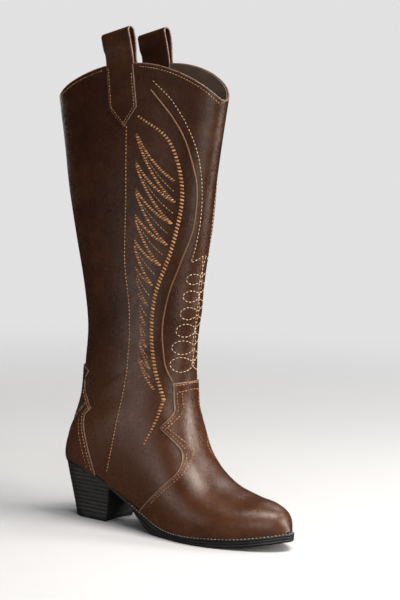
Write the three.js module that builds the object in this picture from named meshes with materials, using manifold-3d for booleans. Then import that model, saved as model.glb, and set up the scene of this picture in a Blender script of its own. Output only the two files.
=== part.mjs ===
// Knee-high western pull-on boot, right foot, in millimetres.
// Boot frame while building: X runs from the heel towards the toe, -Y is the outer
// side of the foot, +Z is up and the ground is z = 0. The group is then moved so that
// its origin is the bottom centre of its bounding box.
import * as THREE from 'three';
import { mergeVertices } from 'three/addons/utils/BufferGeometryUtils.js';
import Module from 'manifold-3d';

const wasm = await Module();
wasm.setup();

// ---------- driving dimensions ----------

// Layers of the upper, as distances along the outward normal of the upper's surface.
const SKIN = [-1.4, 0];
const OVERLAY = [0.3, 1.7];
const LINING = [-2.8, -1.7];
const STIFFENER = [-2.9, -1.7];
const TAIL_OUTSIDE = [0.4, 1.9];
const TAIL_INSIDE = [-4.6, -3.1];
const LINING_DROP = 1.5;
const GAP = 0.3;
const SEAM_GAP = 0.4;

const TOE_SWING = 5;
const SWING_START = 120;

const WELT_OUT = 3.4;
const WELT_IN = -7;
const WELT_START = 94;
const SOLE_OUT = 3.4;
const SOLE_OUT_WAIST = 1.2;
const SOLE_OUT_HEEL = 1;

// Heights of the plates of the bottom, as a bottom and a top above the feather line.
const BOARD = [0.6, 2.6];
const SOCK = [2.9, 4.1];
const FILLER = [-3.1, 0.3];
const SHANK = [-0.6, 0.3];
const BOARD_IN = -5.6;
const FILLER_IN = -8;
const FILLER_BACK = 128;
const SHANK_HALF_WIDTH = 6;
const SHANK_SPAN = [14, 124];
const WELT_DROP = 0.4;
const WELT_THICKNESS = [0.2, 2.7];
const SOLE_DROP = [3.4, 12];
const SOLE_RISE = 3.3;

// The heel at the ground, and how it grows towards the seat.
const HEEL = {
  back: 14.5,
  backGrowth: 15,
  breast: 62,
  breastLean: 0.12,
  hollow: 2.5,
  half: 20.5,
  halfGrowth: 5.5,
  middle: 40,
};

const LIFT_COUNT = 13;
const LIFT_PITCH = 3.9;
const TOP_LIFT_HEIGHT = 6;
const HEEL_NAIL_RADIUS = 1;
const HEEL_NAIL_FOOT = 27;
const HEEL_NAILS = [[18, 11], [18, -11], [46, 12], [46, -12]];
const HEEL_SCREW = { x: 32, radius: 2, foot: 20, headRadius: 4, headHeight: 1.2 };

const PIPING_RADIUS = 0.8;
const PIPING_LIFT = PIPING_RADIUS + 0.55;

const LOOP_WIDTH = 33;
const LOOP_THICKNESS = 1.6;
const LOOP_HEIGHT = 27;
const LOOP_HALF_GAP = [2.5, 4.1];
const LOOP_LEAN = [10, 17];
const LOOP_CENTRE_X = 67.5;
const HINGE_Z = 450.5;
const LEG_CLEARANCE = 0.6;

// ---------- the surface of the upper ----------

// Stations from the toe tip to the collar. Each is half a girth line: it starts on the
// front ridge at (x, z), runs level for a width, passes its control point and ends on
// the feather line round the sole, or on the back centre line from the heel upwards.
const STATIONS = [
  { ridge: [259.5, 17.5], width: 0, side: [259.5, 0, 17.5], edge: [259.5, 0, 17.5] },
  { ridge: [252.5, 33], width: 10, side: [248.5, 20, 23], edge: [247.5, 17, 15] },
  { ridge: [235.5, 40.5], width: 20, side: [225, 36, 23], edge: [224, 30, 11] },
  { ridge: [211.5, 44], width: 27, side: [199, 45, 24.5], edge: [198, 38, 8.8] },
  { ridge: [183.5, 53.5], width: 30, side: [172, 46, 30], edge: [171, 40, 7.2] },
  { ridge: [162, 74], width: 31, side: [142, 44, 39], edge: [140, 35, 9] },
  { ridge: [151, 99], width: 32, side: [111, 40, 61], edge: [104, 29, 22.5] },
  { ridge: [145, 124], width: 33, side: [80, 39, 81], edge: [68, 29, 40.5] },
  { ridge: [144, 147], width: 33, side: [48, 39, 97], edge: [36, 29, 52.5] },
  { ridge: [144.5, 168], width: 33, side: [21.5, 36, 99], edge: [11, 21, 58] },
  { ridge: [145, 186], width: 33, side: [2.5, 35, 106], edge: [1, 0, 60.5] },
  { ridge: [146, 201], width: 33, side: [17, 35, 118.5], edge: [2.7, 0, 80.5] },
  { ridge: [148, 217], width: 33, side: [24.5, 34, 137], edge: [12, 0, 113] },
  { ridge: [149, 234], width: 33, side: [22.5, 34, 164], edge: [15.5, 0, 148] },
  { ridge: [151, 253], width: 33, side: [20, 33, 196], edge: [18, 0, 186] },
  { ridge: [154, 276], width: 34, side: [12.5, 34, 234], edge: [11.5, 0, 228] },
  { ridge: [157, 304], width: 34, side: [-0.5, 34, 279], edge: [-0.5, 0, 276] },
  { ridge: [160, 335], width: 34, side: [-11.5, 34, 324], edge: [-11.5, 0, 322] },
  { ridge: [164, 368], width: 34, side: [-18.5, 34, 363], edge: [-18.5, 0, 362] },
  { ridge: [169, 404], width: 34, side: [-26.5, 34, 402], edge: [-26.5, 0, 402] },
  { ridge: [176, 452], width: 34, side: [-36, 34, 452], edge: [-36, 0, 452] },
];
const HEEL_STATION = 10;
const LAST_STATION = STATIONS.length - 1;

const extend = (a, b) => a.map((value, k) => 2 * value - b[k]);
const mirrorY = ([x, y, z]) => [x, -y, z];

/** A smooth curve through evenly spaced points, with a point added beyond each end. */
function throughPoints(points, before, after) {
  const all = [before, ...points, after];
  return (t) => {
    const i = Math.min(Math.max(Math.floor(t), 0), points.length - 2);
    const f = t - i;
    return points[0].map((_, k) => {
      const [p0, p1, p2, p3] = [all[i][k], all[i + 1][k], all[i + 2][k], all[i + 3][k]];
      const m1 = (p2 - p0) / 2;
      const m2 = (p3 - p1) / 2;
      const spread = p1 - p2;
      return p1 + f * (m1 + f * (-3 * spread - 2 * m1 - m2 + f * (2 * spread + m1 + m2)));
    });
  };
}

function openCurve(points) {
  const n = points.length;
  return throughPoints(points, extend(points[0], points[1]), extend(points[n - 1], points[n - 2]));
}

const ridgeAt = openCurve(STATIONS.map((st) => st.ridge));
const widthAt = openCurve(STATIONS.map((st) => [st.width]));
const sideAt = openCurve(STATIONS.map((st) => st.side));
const edges = STATIONS.map((st) => st.edge);
const featherAt = throughPoints(
  edges.slice(0, HEEL_STATION + 1), mirrorY(edges[1]), mirrorY(edges[HEEL_STATION - 1]));
const backAt = openCurve(edges.slice(HEEL_STATION));
const edgeAt = (s) => (s < HEEL_STATION ? featherAt(s) : backAt(s - HEEL_STATION));

const smooth = (from, to, x) => THREE.MathUtils.smoothstep(x, from, to);

/** Sideways swing of the forefoot towards the inner side of the foot. */
const swing = (x) => TOE_SWING * smooth(SWING_START, 270, x) ** 1.5;

/** Point of the upper at station s, on the side of u's sign, |u| of the way down. */
function upper(s, u) {
  const v = Math.abs(u);
  const w = 1 - v;
  const [rx, rz] = ridgeAt(s);
  const [px, py, pz] = sideAt(s);
  const [ex, ey, ez] = edgeAt(s);
  const width = widthAt(s)[0] * 4 / 3;
  const [b0, b1, b2, b3] = [w * w * w, 3 * w * w * v, 3 * w * v * v, v * v * v];
  return new THREE.Vector3(
    (b0 + b1) * rx + b2 * px + b3 * ex,
    Math.sign(u) * (b1 * width + b2 * py + b3 * ey),
    (b0 + b1) * rz + b2 * pz + b3 * ez);
}

/** Outward unit normal of the upper; at the toe tip it points straight ahead. */
function upperNormal(s, u, side) {
  if (s < 0.05) return new THREE.Vector3(1, 0, 0.15).normalize();
  const step = 0.01;
  const v = Math.abs(u);
  const [v0, v1] = [Math.max(v - step, 0), Math.min(v + step, 1)];
  const [s0, s1] = [s - step, Math.min(s + step, LAST_STATION)];
  const across = upper(s, side * v1).sub(upper(s, side * v0));
  if (v0 === 0) across.setX(0).setZ(0);
  const along = upper(s1, side * v).sub(upper(s0, side * v));
  const normal = across.cross(along).multiplyScalar(side).normalize();
  const onCentre = v === 0 || (v === 1 && s >= HEEL_STATION);
  return onCentre ? normal.setY(0).normalize() : normal;
}

function skinPoint(s, v, side, offset) {
  const p = upper(s, side * v).addScaledVector(upperNormal(s, v, side), offset);
  return p.setY(p.y + swing(p.x));
}

// ---------- solids ----------

const WELD = 1e-3;

/** Closed solid from a triangle list over points, welded, without empty triangles. */
function solidFrom(points, triangles) {
  const geometry = new THREE.BufferGeometry().setFromPoints(points);
  geometry.setIndex(triangles);
  return toSolid(geometry);
}

function toSolid(geometry) {
  const bare = geometry.clone();
  bare.deleteAttribute('normal');
  bare.deleteAttribute('uv');
  const merged = mergeVertices(bare, WELD);
  const index = [];
  for (let i = 0; i < merged.index.count; i += 3) {
    const [a, b, c] = [merged.index.getX(i), merged.index.getX(i + 1), merged.index.getX(i + 2)];
    if (a !== b && b !== c && c !== a) index.push(a, b, c);
  }
  const make = (list) => new wasm.Manifold(new wasm.Mesh({
    numProp: 3,
    vertProperties: new Float32Array(merged.attributes.position.array),
    triVerts: new Uint32Array(list),
  }));
  const solid = make(index);
  if (solid.volume() > 0) return solid;
  const flipped = [];
  for (let i = 0; i < index.length; i += 3) flipped.push(index[i], index[i + 2], index[i + 1]);
  return make(flipped);
}

/** Box-like solid of rows x columns cells between a top and a bottom grid of points. */
function slab(rows, columns, top, bottom) {
  const points = [];
  for (const face of [top, bottom]) {
    for (let i = 0; i <= rows; i += 1) {
      for (let j = 0; j <= columns; j += 1) points.push(face(i, j));
    }
  }
  const layer = (rows + 1) * (columns + 1);
  const at = (i, j) => i * (columns + 1) + j;
  const triangles = [];
  const quad = (a, b, c, d) => triangles.push(a, b, c, a, c, d);
  for (let i = 0; i < rows; i += 1) {
    for (let j = 0; j < columns; j += 1) {
      const [a, b, c, d] = [at(i, j), at(i + 1, j), at(i + 1, j + 1), at(i, j + 1)];
      quad(a, b, c, d);
      triangles.push(layer + a, layer + c, layer + b, layer + a, layer + d, layer + c);
    }
  }
  for (let i = 0; i < rows; i += 1) {
    quad(at(i + 1, 0), at(i, 0), layer + at(i, 0), layer + at(i + 1, 0));
    quad(at(i, columns), at(i + 1, columns), layer + at(i + 1, columns), layer + at(i, columns));
  }
  for (let j = 0; j < columns; j += 1) {
    quad(at(0, j), at(0, j + 1), layer + at(0, j + 1), layer + at(0, j));
    quad(at(rows, j + 1), at(rows, j), layer + at(rows, j), layer + at(rows, j + 1));
  }
  return solidFrom(points, triangles);
}

// Every layer uses these same girth lines and columns, so neighbouring layers nest.
const ROWS = [0, 0.2, 0.6, 1, 1.5, 2.2, 3, 3.8, 4.6, 5.3, 6, 6.7, 7.4, 8, 8.6, 9, 9.4, 9.7, 10,
  10.5, 11, 12, 13, 14, 15, 16, 17.3, 18.7, 20];
const COLUMNS = 8;

/** One layer of the upper between two stations, as a closed solid of both sides. */
function layer([low, high], from, to) {
  const rows = ROWS.filter((s) => s >= from && s <= to);
  const depth = (value, s) => (typeof value === 'function' ? value(s) : value);
  const half = (side) => slab(rows.length - 1, COLUMNS,
    (i, j) => skinPoint(rows[i], j / COLUMNS, side, depth(high, rows[i])),
    (i, j) => skinPoint(rows[i], j / COLUMNS, side, depth(low, rows[i])));
  return half(-1).add(half(1));
}

/** Prism of an outline in side view, (x, z), running right across the boot. */
function sidePrism(shape, divisions = 6, from = -90, to = 90) {
  const geometry = new THREE.ExtrudeGeometry(shape, {
    depth: to - from, bevelEnabled: false, steps: 1, curveSegments: divisions });
  return toSolid(geometry.rotateX(Math.PI / 2).translate(0, to, 0));
}

/** Polygon in side view through the given points, shifted along X. */
function polygon(points, shift = 0) {
  return new THREE.Shape(points.map(([x, z]) => new THREE.Vector2(x + shift, z)));
}

/** Points of a smooth open curve through hand-set ones, `per` steps to each span. */
function curvePoints(points, per = 3) {
  const at = openCurve(points);
  const count = (points.length - 1) * per;
  return Array.from({ length: count + 1 }, (_, i) => at(i / per));
}

// ---------- pattern lines of the upper, in side view (x, z) ----------

const SIDE_SEAM = curvePoints([[77.5, 470], [77.5, 388], [80, 317], [81, 260], [88, 214], [89, 175],
  [85, 120], [78, 82], [68, 47], [62, 10]], 2);
const TONGUE = [[300, 152], [160, 149.5], [136, 145.5]];
const TONGUE_SIDE = curvePoints([[136, 145.5], [137.5, 130], [139, 119], [136, 111], [130.5, 103.5]], 2);
const VAMP_WING = curvePoints([[130.5, 103.5], [142, 93], [150.5, 83], [154.5, 71], [153, 61], [142, 49],
  [126, 34], [104, 14]], 2);
const VAMP_LINE = [...TONGUE, ...TONGUE_SIDE.slice(1), ...VAMP_WING.slice(1)];
const VAMP_LAP = [[300, 137], [149, 136], [145, 118], [143, 109], [152.5, 93], [159, 80], [162, 66],
  [152, 45], [122, 6]];
const COUNTER_LINE = [
  ...curvePoints([[58, 25], [53, 51], [45, 78], [38.5, 95], [38, 104], [45.5, 111]], 2),
  ...curvePoints([[45.5, 111], [35, 119], [24.5, 127.5], [24, 138], [33, 145.5]], 2).slice(1),
  [20, 148.5], [-40, 150]];
const COLLAR_LINE = curvePoints([[-60, 380], [-30, 406], [2, 426], [50, 443], [95, 447.5], [130, 442],
  [158, 429], [174, 411], [190, 380]], 2);
const STIFFENER_LINE = [[-40, 132], [18, 130], [40, 112], [62, 84], [84, 50], [78, 0]];
const LINING_SPLIT = [[100, -10], [134, 60], [152, 118], [300, 130]];
const TAIL_OUTLINE = [[48.5, 470], [57, 403], [75, 386.5], [89, 406.5], [80.5, 470]];
const INNER_TAIL_OUTLINE = [[48.5, 470], [55, 415], [87.5, 417], [80.5, 470]];
const PIPING_LINE = [[105, 423], [127, 401], [141, 380], [149, 354], [152, 330], [149, 293],
  [139, 259], [130, 231], [125, 197], [127, 167], [135, 147.5]];

const FRONT_FAR = 400;
const BACK_FAR = -200;
const BELOW = -60;
const ABOVE = 520;

// ---------- the bottom of the boot ----------

/** Station whose feather point lies at x; the feather line runs forwards to back. */
function stationAt(x) {
  let [low, high] = [0, HEEL_STATION];
  for (let k = 0; k < 40; k += 1) {
    const middle = (low + high) / 2;
    if (featherAt(middle)[0] > x) low = middle;
    else high = middle;
  }
  return (low + high) / 2;
}

const TOE_X = edges[0][0];
const HEEL_X = edges[HEEL_STATION][0];
const featherZ = (x) => featherAt(stationAt(THREE.MathUtils.clamp(x, HEEL_X, TOE_X)))[2];

const between = ([first, last], t) => first + (last - first) * t;

const weltTop = (x) => featherZ(x) - WELT_DROP;
const weltBottom = (x) => weltTop(x) - between(WELT_THICKNESS, smooth(84, 110, x));
const outsoleTop = (x) => weltBottom(x) - 0.5;
const soleDrop = (x) => between(SOLE_DROP, smooth(88, 122, x)) - SOLE_RISE * smooth(130, 160, x);
const outsoleBottom = (x) => Math.max(0, featherZ(x) - soleDrop(x));
const soleOut = (x) => SOLE_OUT_HEEL + (SOLE_OUT_WAIST - SOLE_OUT_HEEL) * smooth(60, 90, x)
  + (SOLE_OUT - SOLE_OUT_WAIST) * smooth(90, 150, x);

/** Feather point at station s on one side, moved out in plan. */
function soleEdge(s, side, out) {
  const [x, y] = featherAt(s);
  const [x0, y0] = featherAt(Math.max(s - 0.01, 0));
  const [x1, y1] = featherAt(Math.min(s + 0.01, HEEL_STATION));
  const length = Math.hypot(x1 - x0, y1 - y0);
  const distance = typeof out === 'function' ? out(x) : out;
  if (s <= 0) return [x + distance, 0];
  if (s >= HEEL_STATION) return [x - distance, 0];
  const across = Math.max(y - distance * (x1 - x0) / length, 0);
  return [x + distance * (y1 - y0) / length, side * across];
}

const SOLE_STATIONS = [0, 0.08, 0.2, 0.4, 0.7, 1, 1.5, 2, 2.5, 3, 3.5, 4, 4.4, 4.8, 5.2,
  5.6, 6, 6.5, 7, 7.5, 8, 8.6, 9, 9.3, 9.6, 9.8, 9.92, 10];

/** Plate that follows the bottom of the boot between two stations. */
function solePlate(from, to, out, top, bottom, lanes = 2) {
  const stations = SOLE_STATIONS.filter((s) => s > from && s < to);
  stations.unshift(from);
  stations.push(to);
  const point = (height) => (i, j) => {
    const [x, y] = soleEdge(stations[i], 1, out);
    const across = y * (1 - 2 * j / lanes);
    return new THREE.Vector3(x, across + swing(x), height(x));
  };
  return slab(stations.length - 1, lanes, point(top), point(bottom));
}

/** Strip that follows the feather line round the toe from one waist to the other. */
function weltStrip() {
  const last = stationAt(WELT_START);
  const stations = SOLE_STATIONS.filter((s) => s < last);
  stations.push(last);
  const path = [...stations.slice(1).reverse().map((s) => [s, -1]), ...stations.map((s) => [s, 1])];
  const point = (height) => (i, j) => {
    const [s, side] = path[i];
    const [x, y] = soleEdge(s, side, j === 0 ? WELT_IN : WELT_OUT);
    return new THREE.Vector3(x, y + swing(x), height(x));
  };
  return slab(path.length - 1, 1, point(weltTop), point(weltBottom));
}

/** Long, narrow spring that follows the bottom between two x positions. */
function shankStrip() {
  const [x0, x1] = SHANK_SPAN;
  const steps = 12;
  const height = (rise) => (i, j) => {
    const x = x0 + (x1 - x0) * i / steps;
    return new THREE.Vector3(x, (1 - 2 * j) * SHANK_HALF_WIDTH, featherZ(x) + rise);
  };
  return slab(steps, 1, height(SHANK[1]), height(SHANK[0]));
}

// ---------- the heel ----------

/** Plan of the heel at height z: round at the back, straight and slightly hollow ahead. */
function heelPlan(z) {
  const back = HEEL.back - HEEL.backGrowth * THREE.MathUtils.clamp(z / 60, 0, 1);
  const breast = HEEL.breast + HEEL.breastLean * z;
  const half = HEEL.half + HEEL.halfGrowth * smooth(6, 58, z);
  const middle = back + half;
  const points = [];
  const arcSteps = 8;
  for (let i = 0; i <= arcSteps; i += 1) {
    const angle = Math.PI / 2 + Math.PI * i / arcSteps;
    points.push([middle + half * Math.cos(angle), half * Math.sin(angle)]);
  }
  const breastSteps = 2;
  for (let i = 0; i <= breastSteps; i += 1) {
    const t = 2 * i / breastSteps - 1;
    points.push([breast - HEEL.hollow * (1 - t * t), (half + 1) * t]);
  }
  return points;
}

/** Slice of the heel between two heights. */
function heelSlice(z0, z1) {
  const plans = [heelPlan(z0), heelPlan(z1)];
  const count = plans[0].length;
  const points = [z0, z1].flatMap((z, k) => plans[k].map(([x, y]) => new THREE.Vector3(x, y, z)));
  const centres = [z0, z1].map((z) => new THREE.Vector3(HEEL.middle, 0, z));
  points.push(...centres);
  const triangles = [];
  for (let i = 0; i < count; i += 1) {
    const next = (i + 1) % count;
    triangles.push(i, next, count + next, i, count + next, count + i);
    triangles.push(2 * count, next, i, 2 * count + 1, count + i, count + next);
  }
  return solidFrom(points, triangles);
}

/** Region under the outsole, with a gap, as a prism right across the heel. */
function underOutsole() {
  const xs = Array.from({ length: 13 }, (_, i) => -4 + 8 * i);
  const top = xs.map((x) => [x, outsoleBottom(x) - GAP]);
  return sidePrism(polygon([...top, [92, BELOW], [-4, BELOW]]));
}

function rod(x, y, z0, z1, radius) {
  const geometry = new THREE.CylinderGeometry(radius, radius, z1 - z0, 6);
  return toSolid(geometry.rotateX(Math.PI / 2).translate(x, y, (z0 + z1) / 2));
}

const nailTop = (x) => outsoleTop(x) - 0.4;
const nailRods = (grow) => HEEL_NAILS.map(([x, y]) => rod(
  x, y, HEEL_NAIL_FOOT - grow, nailTop(x) + 10 * grow, HEEL_NAIL_RADIUS + grow));

function screwRods(grow) {
  const { x, radius, foot, headRadius, headHeight } = HEEL_SCREW;
  const top = featherZ(x) + 1.1;
  return [
    rod(x, 0, foot - grow, top, radius + grow),
    rod(x, 0, top - headHeight - grow, top + 6 * grow, headRadius + grow),
  ];
}

function geometryOf(solid) {
  const { vertProperties, triVerts, numProp } = solid.getMesh();
  const corners = new Float32Array(vertProperties.length / numProp * 3);
  for (let i = 0; i < corners.length; i += 1) {
    corners[i] = vertProperties[Math.floor(i / 3) * numProp + i % 3];
  }
  const geometry = new THREE.BufferGeometry();
  geometry.setAttribute('position', new THREE.BufferAttribute(corners, 3));
  geometry.setIndex(new THREE.BufferAttribute(new Uint32Array(triVerts), 1));
  return geometry;
}

/** The largest piece of a solid, without the slivers that a slanting cut leaves. */
function mainPiece(solid) {
  const parts = toSolid(geometryOf(solid)).decompose();
  return parts.reduce((best, part) => (part.volume() > best.volume() ? part : best));
}

const unite = (solids) => solids.reduce((sum, solid) => sum.add(solid));

// ---------- the pull loops ----------

/** Middle line of a loop in its own plane: sideways place and lean at height h. */
function loopSpine(h) {
  const steps = 12;
  let [x, z] = [0, 0];
  const lean = (t) => THREE.MathUtils.degToRad(THREE.MathUtils.lerp(...LOOP_LEAN, t / LOOP_HEIGHT));
  for (let k = 0; k < steps; k += 1) {
    const angle = lean((k + 0.5) * h / steps);
    x -= Math.sin(angle) * h / steps;
    z += Math.cos(angle) * h / steps;
  }
  return { x, z, angle: lean(h) };
}

/** Cross path of a loop: up the outer leg, over the top and down the inner leg. */
function loopPath() {
  const [low, high] = LOOP_HALF_GAP;
  const legSteps = 6;
  const archSteps = 8;
  const straight = LOOP_HEIGHT - high;
  const leg = Array.from({ length: legSteps }, (_, i) => {
    const t = i / legSteps;
    return { y: low + (high - low) * smooth(0, 0.7, t), h: LEG_CLEARANCE + (straight - LEG_CLEARANCE) * t };
  });
  const arch = Array.from({ length: archSteps + 1 }, (_, i) => {
    const angle = Math.PI * i / archSteps;
    return { y: high * Math.cos(angle), h: straight + high * Math.sin(angle) };
  });
  return [...leg, ...arch, ...leg.map(({ y, h }) => ({ y: -y, h })).reverse()];
}

function pullLoop(side) {
  const path = loopPath();
  const lanes = 3;
  const wallY = Math.abs(skinPoint(19.85, 0.51, side, (SKIN[1] + LINING[0]) / 2).y);
  const face = (offset) => (i, j) => {
    const before = path[Math.max(i - 1, 0)];
    const after = path[Math.min(i + 1, path.length - 1)];
    const length = Math.hypot(after.y - before.y, after.h - before.h);
    const y = path[i].y + offset * (after.h - before.h) / length;
    const h = path[i].h - offset * (after.y - before.y) / length;
    const { x, z, angle } = loopSpine(h);
    const across = LOOP_WIDTH * (j / lanes - 0.5);
    return new THREE.Vector3(LOOP_CENTRE_X + x + across * Math.cos(angle), side * (wallY + y),
      HINGE_Z + z + Math.max(across * Math.sin(angle) * smooth(0, 12, h), -z));
  };
  return slab(path.length - 1, lanes, face(LOOP_THICKNESS / 2), face(-LOOP_THICKNESS / 2));
}

// ---------- assembly ----------

const aboveFeather = sidePrism(polygon([
  ...Array.from({ length: 57 }, (_, i) => -8 + 5 * i).map((x) => [x, featherZ(x) + 0.05]),
  [FRONT_FAR, 17], [FRONT_FAR, ABOVE], [BACK_FAR, ABOVE], [BACK_FAR, 57]]));
const belowCollar = sidePrism(polygon([...COLLAR_LINE, [FRONT_FAR, BELOW], [BACK_FAR, BELOW]]));
const aheadOfSeam = sidePrism(polygon([...SIDE_SEAM, [FRONT_FAR, BELOW], [FRONT_FAR, ABOVE]]));
const behindSeam = sidePrism(polygon([...SIDE_SEAM, [BACK_FAR, BELOW], [BACK_FAR, ABOVE]], -SEAM_GAP));
const vampArea = sidePrism(polygon([...VAMP_LINE, [FRONT_FAR, BELOW], [FRONT_FAR, 152]]));
const aheadOfLap = sidePrism(polygon([...VAMP_LAP, [122, BELOW], [FRONT_FAR, BELOW]]));
const counterArea = sidePrism(polygon([...COUNTER_LINE, [BACK_FAR, 150], [BACK_FAR, BELOW]]));
const stiffenerArea = sidePrism(polygon([...STIFFENER_LINE, [BACK_FAR, BELOW]]));
const liningAhead = sidePrism(polygon(
  [...LINING_SPLIT, [FRONT_FAR, 130], [FRONT_FAR, BELOW], [100, BELOW]]));
const liningBehind = sidePrism(polygon(
  [...LINING_SPLIT, [FRONT_FAR, 130], [FRONT_FAR, ABOVE], [BACK_FAR, ABOVE], [BACK_FAR, BELOW], [100, BELOW]],
  -SEAM_GAP));
const nearSide = sidePrism(polygon(
  [[BACK_FAR, BELOW], [FRONT_FAR, BELOW], [FRONT_FAR, ABOVE], [BACK_FAR, ABOVE]]), 1, -90, 0);

const outer = (solid) => solid.intersect(nearSide);
const inner = (solid) => solid.subtract(nearSide);

const liningDepth = (depth) => (s) => depth - LINING_DROP * smooth(3, 5.5, s) * (1 - smooth(12, 14, s));
const liningRange = LINING.map(liningDepth);

const skin = layer(SKIN, 4.6, LAST_STATION).intersect(belowCollar).intersect(aboveFeather);
const lining = layer(liningRange, 0, LAST_STATION).intersect(belowCollar).intersect(aboveFeather);
const overlay = layer(OVERLAY, 0, 13).intersect(aboveFeather);
const stiffener = layer(STIFFENER, 6.7, 12).intersect(aboveFeather).intersect(stiffenerArea);
const tailOutside = layer(TAIL_OUTSIDE, 17.3, LAST_STATION).intersect(belowCollar)
  .intersect(sidePrism(polygon(TAIL_OUTLINE)));
const tailInside = layer(TAIL_INSIDE, 17.3, LAST_STATION).intersect(belowCollar)
  .intersect(sidePrism(polygon(INNER_TAIL_OUTLINE)));

/** Thin cord that lies on the front panel along the edge of the front inlay. */
function piping(side) {
  const onSurface = PIPING_LINE.map(([x, z]) => {
    let nearest = { distance: Infinity, s: 0, v: 0 };
    for (let s = 7.5; s < LAST_STATION; s += 0.05) {
      for (let v = 0.02; v < 0.6; v += 0.01) {
        const p = upper(s, side * v);
        const distance = Math.hypot(p.x - x, p.z - z);
        if (distance < nearest.distance) nearest = { distance, s, v };
      }
    }
    return skinPoint(nearest.s, nearest.v, side, PIPING_LIFT);
  });
  const path = new THREE.CatmullRomCurve3(onSurface);
  const section = new THREE.Shape(Array.from({ length: 5 }, (_, i) => new THREE.Vector2(
    PIPING_RADIUS * Math.cos(Math.PI * i / 2.5), PIPING_RADIUS * Math.sin(Math.PI * i / 2.5))));
  return toSolid(new THREE.ExtrudeGeometry(section, { steps: 28, extrudePath: path, bevelEnabled: false }));
}

const holes = unite([...nailRods(GAP), ...screwRods(GAP)]);

const outsole = solePlate(0, HEEL_STATION, soleOut, outsoleTop, outsoleBottom).subtract(holes);
const bottomPlate = (from, to, out, [low, high]) => solePlate(
  from, to, out, (x) => featherZ(x) + high, (x) => featherZ(x) + low);
const board = bottomPlate(0, HEEL_STATION, BOARD_IN, BOARD).subtract(holes);
const sock = bottomPlate(0, HEEL_STATION, BOARD_IN, SOCK);
const filler = bottomPlate(1, stationAt(FILLER_BACK), FILLER_IN, FILLER);

const LEATHER = { color: 0x3d241a, roughness: 0.35, metalness: 0 };
const LINING_LEATHER = { color: 0x8a6a4c, roughness: 0.8, metalness: 0 };
const FIBRE = { color: 0xa98c68, roughness: 0.9, metalness: 0 };
const RUBBER = { color: 0x141414, roughness: 0.6, metalness: 0 };
const STEEL = { color: 0x9a9da0, roughness: 0.4, metalness: 1 };
const TAN = { color: 0xa8713f, roughness: 0.5, metalness: 0 };

const pieces = [
  ['shaft_front', mainPiece(skin.intersect(aheadOfSeam).subtract(aheadOfLap)), LEATHER],
  ['shaft_back', mainPiece(skin.intersect(behindSeam)), LEATHER],
  ['vamp', mainPiece(overlay.intersect(vampArea)), LEATHER],
  ['heel_counter', mainPiece(overlay.intersect(counterArea)), LEATHER],
  ['toe_puff', mainPiece(layer(SKIN, 0, 3).intersect(aboveFeather)), FIBRE],
  ['heel_stiffener', mainPiece(stiffener), FIBRE],
  ['lining_front', mainPiece(lining.intersect(aheadOfSeam).intersect(liningBehind)), LINING_LEATHER],
  ['lining_back', mainPiece(lining.intersect(behindSeam).intersect(liningBehind)), LINING_LEATHER],
  ['vamp_lining', mainPiece(lining.intersect(liningAhead)), LINING_LEATHER],
  ['strap_tail_outer_outside', outer(tailOutside), LEATHER],
  ['strap_tail_outer_inside', outer(tailInside), LEATHER],
  ['strap_tail_inner_outside', inner(tailOutside), LEATHER],
  ['strap_tail_inner_inside', inner(tailInside), LEATHER],
  ['pull_loop_outer', pullLoop(-1), LEATHER],
  ['pull_loop_inner', pullLoop(1), LEATHER],
  ['piping_outer', piping(-1), TAN],
  ['piping_inner', piping(1), TAN],
  ['insole_board', board, FIBRE],
  ['sock_liner', sock, LINING_LEATHER],
  ['bottom_filler', filler, FIBRE],
  ['shank', shankStrip().subtract(holes), STEEL],
  ['welt', weltStrip(), RUBBER],
  ['outsole', outsole, RUBBER],
  ['heel_top_lift', heelSlice(0, TOP_LIFT_HEIGHT), RUBBER],
  ['heel_screw', unite(screwRods(0)), STEEL],
];

nailRods(0).forEach((nail, i) => pieces.push([`heel_nail_${i + 1}`, nail, STEEL]));

const heelSpace = underOutsole();
for (let k = 0; k < LIFT_COUNT; k += 1) {
  const low = TOP_LIFT_HEIGHT + GAP + k * LIFT_PITCH;
  const lift = heelSlice(low, low + LIFT_PITCH - GAP).intersect(heelSpace).subtract(holes);
  pieces.push([`heel_lift_${String(k + 1).padStart(2, '0')}`, lift, RUBBER]);
}

const group = new THREE.Group();
for (const [name, solid, finish] of pieces) {
  const geometry = geometryOf(solid);
  geometry.computeVertexNormals();
  const mesh = new THREE.Mesh(geometry, new THREE.MeshStandardMaterial(finish));
  mesh.name = name;
  group.add(mesh);
}

const box = new THREE.Box3().setFromObject(group);
const middle = box.getCenter(new THREE.Vector3());
group.position.set(-middle.x, -middle.y, -box.min.z);

export default group;
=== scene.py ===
import math

import bmesh
import bpy
import numpy as np
from mathutils import Matrix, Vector
from mathutils.kdtree import KDTree


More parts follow.
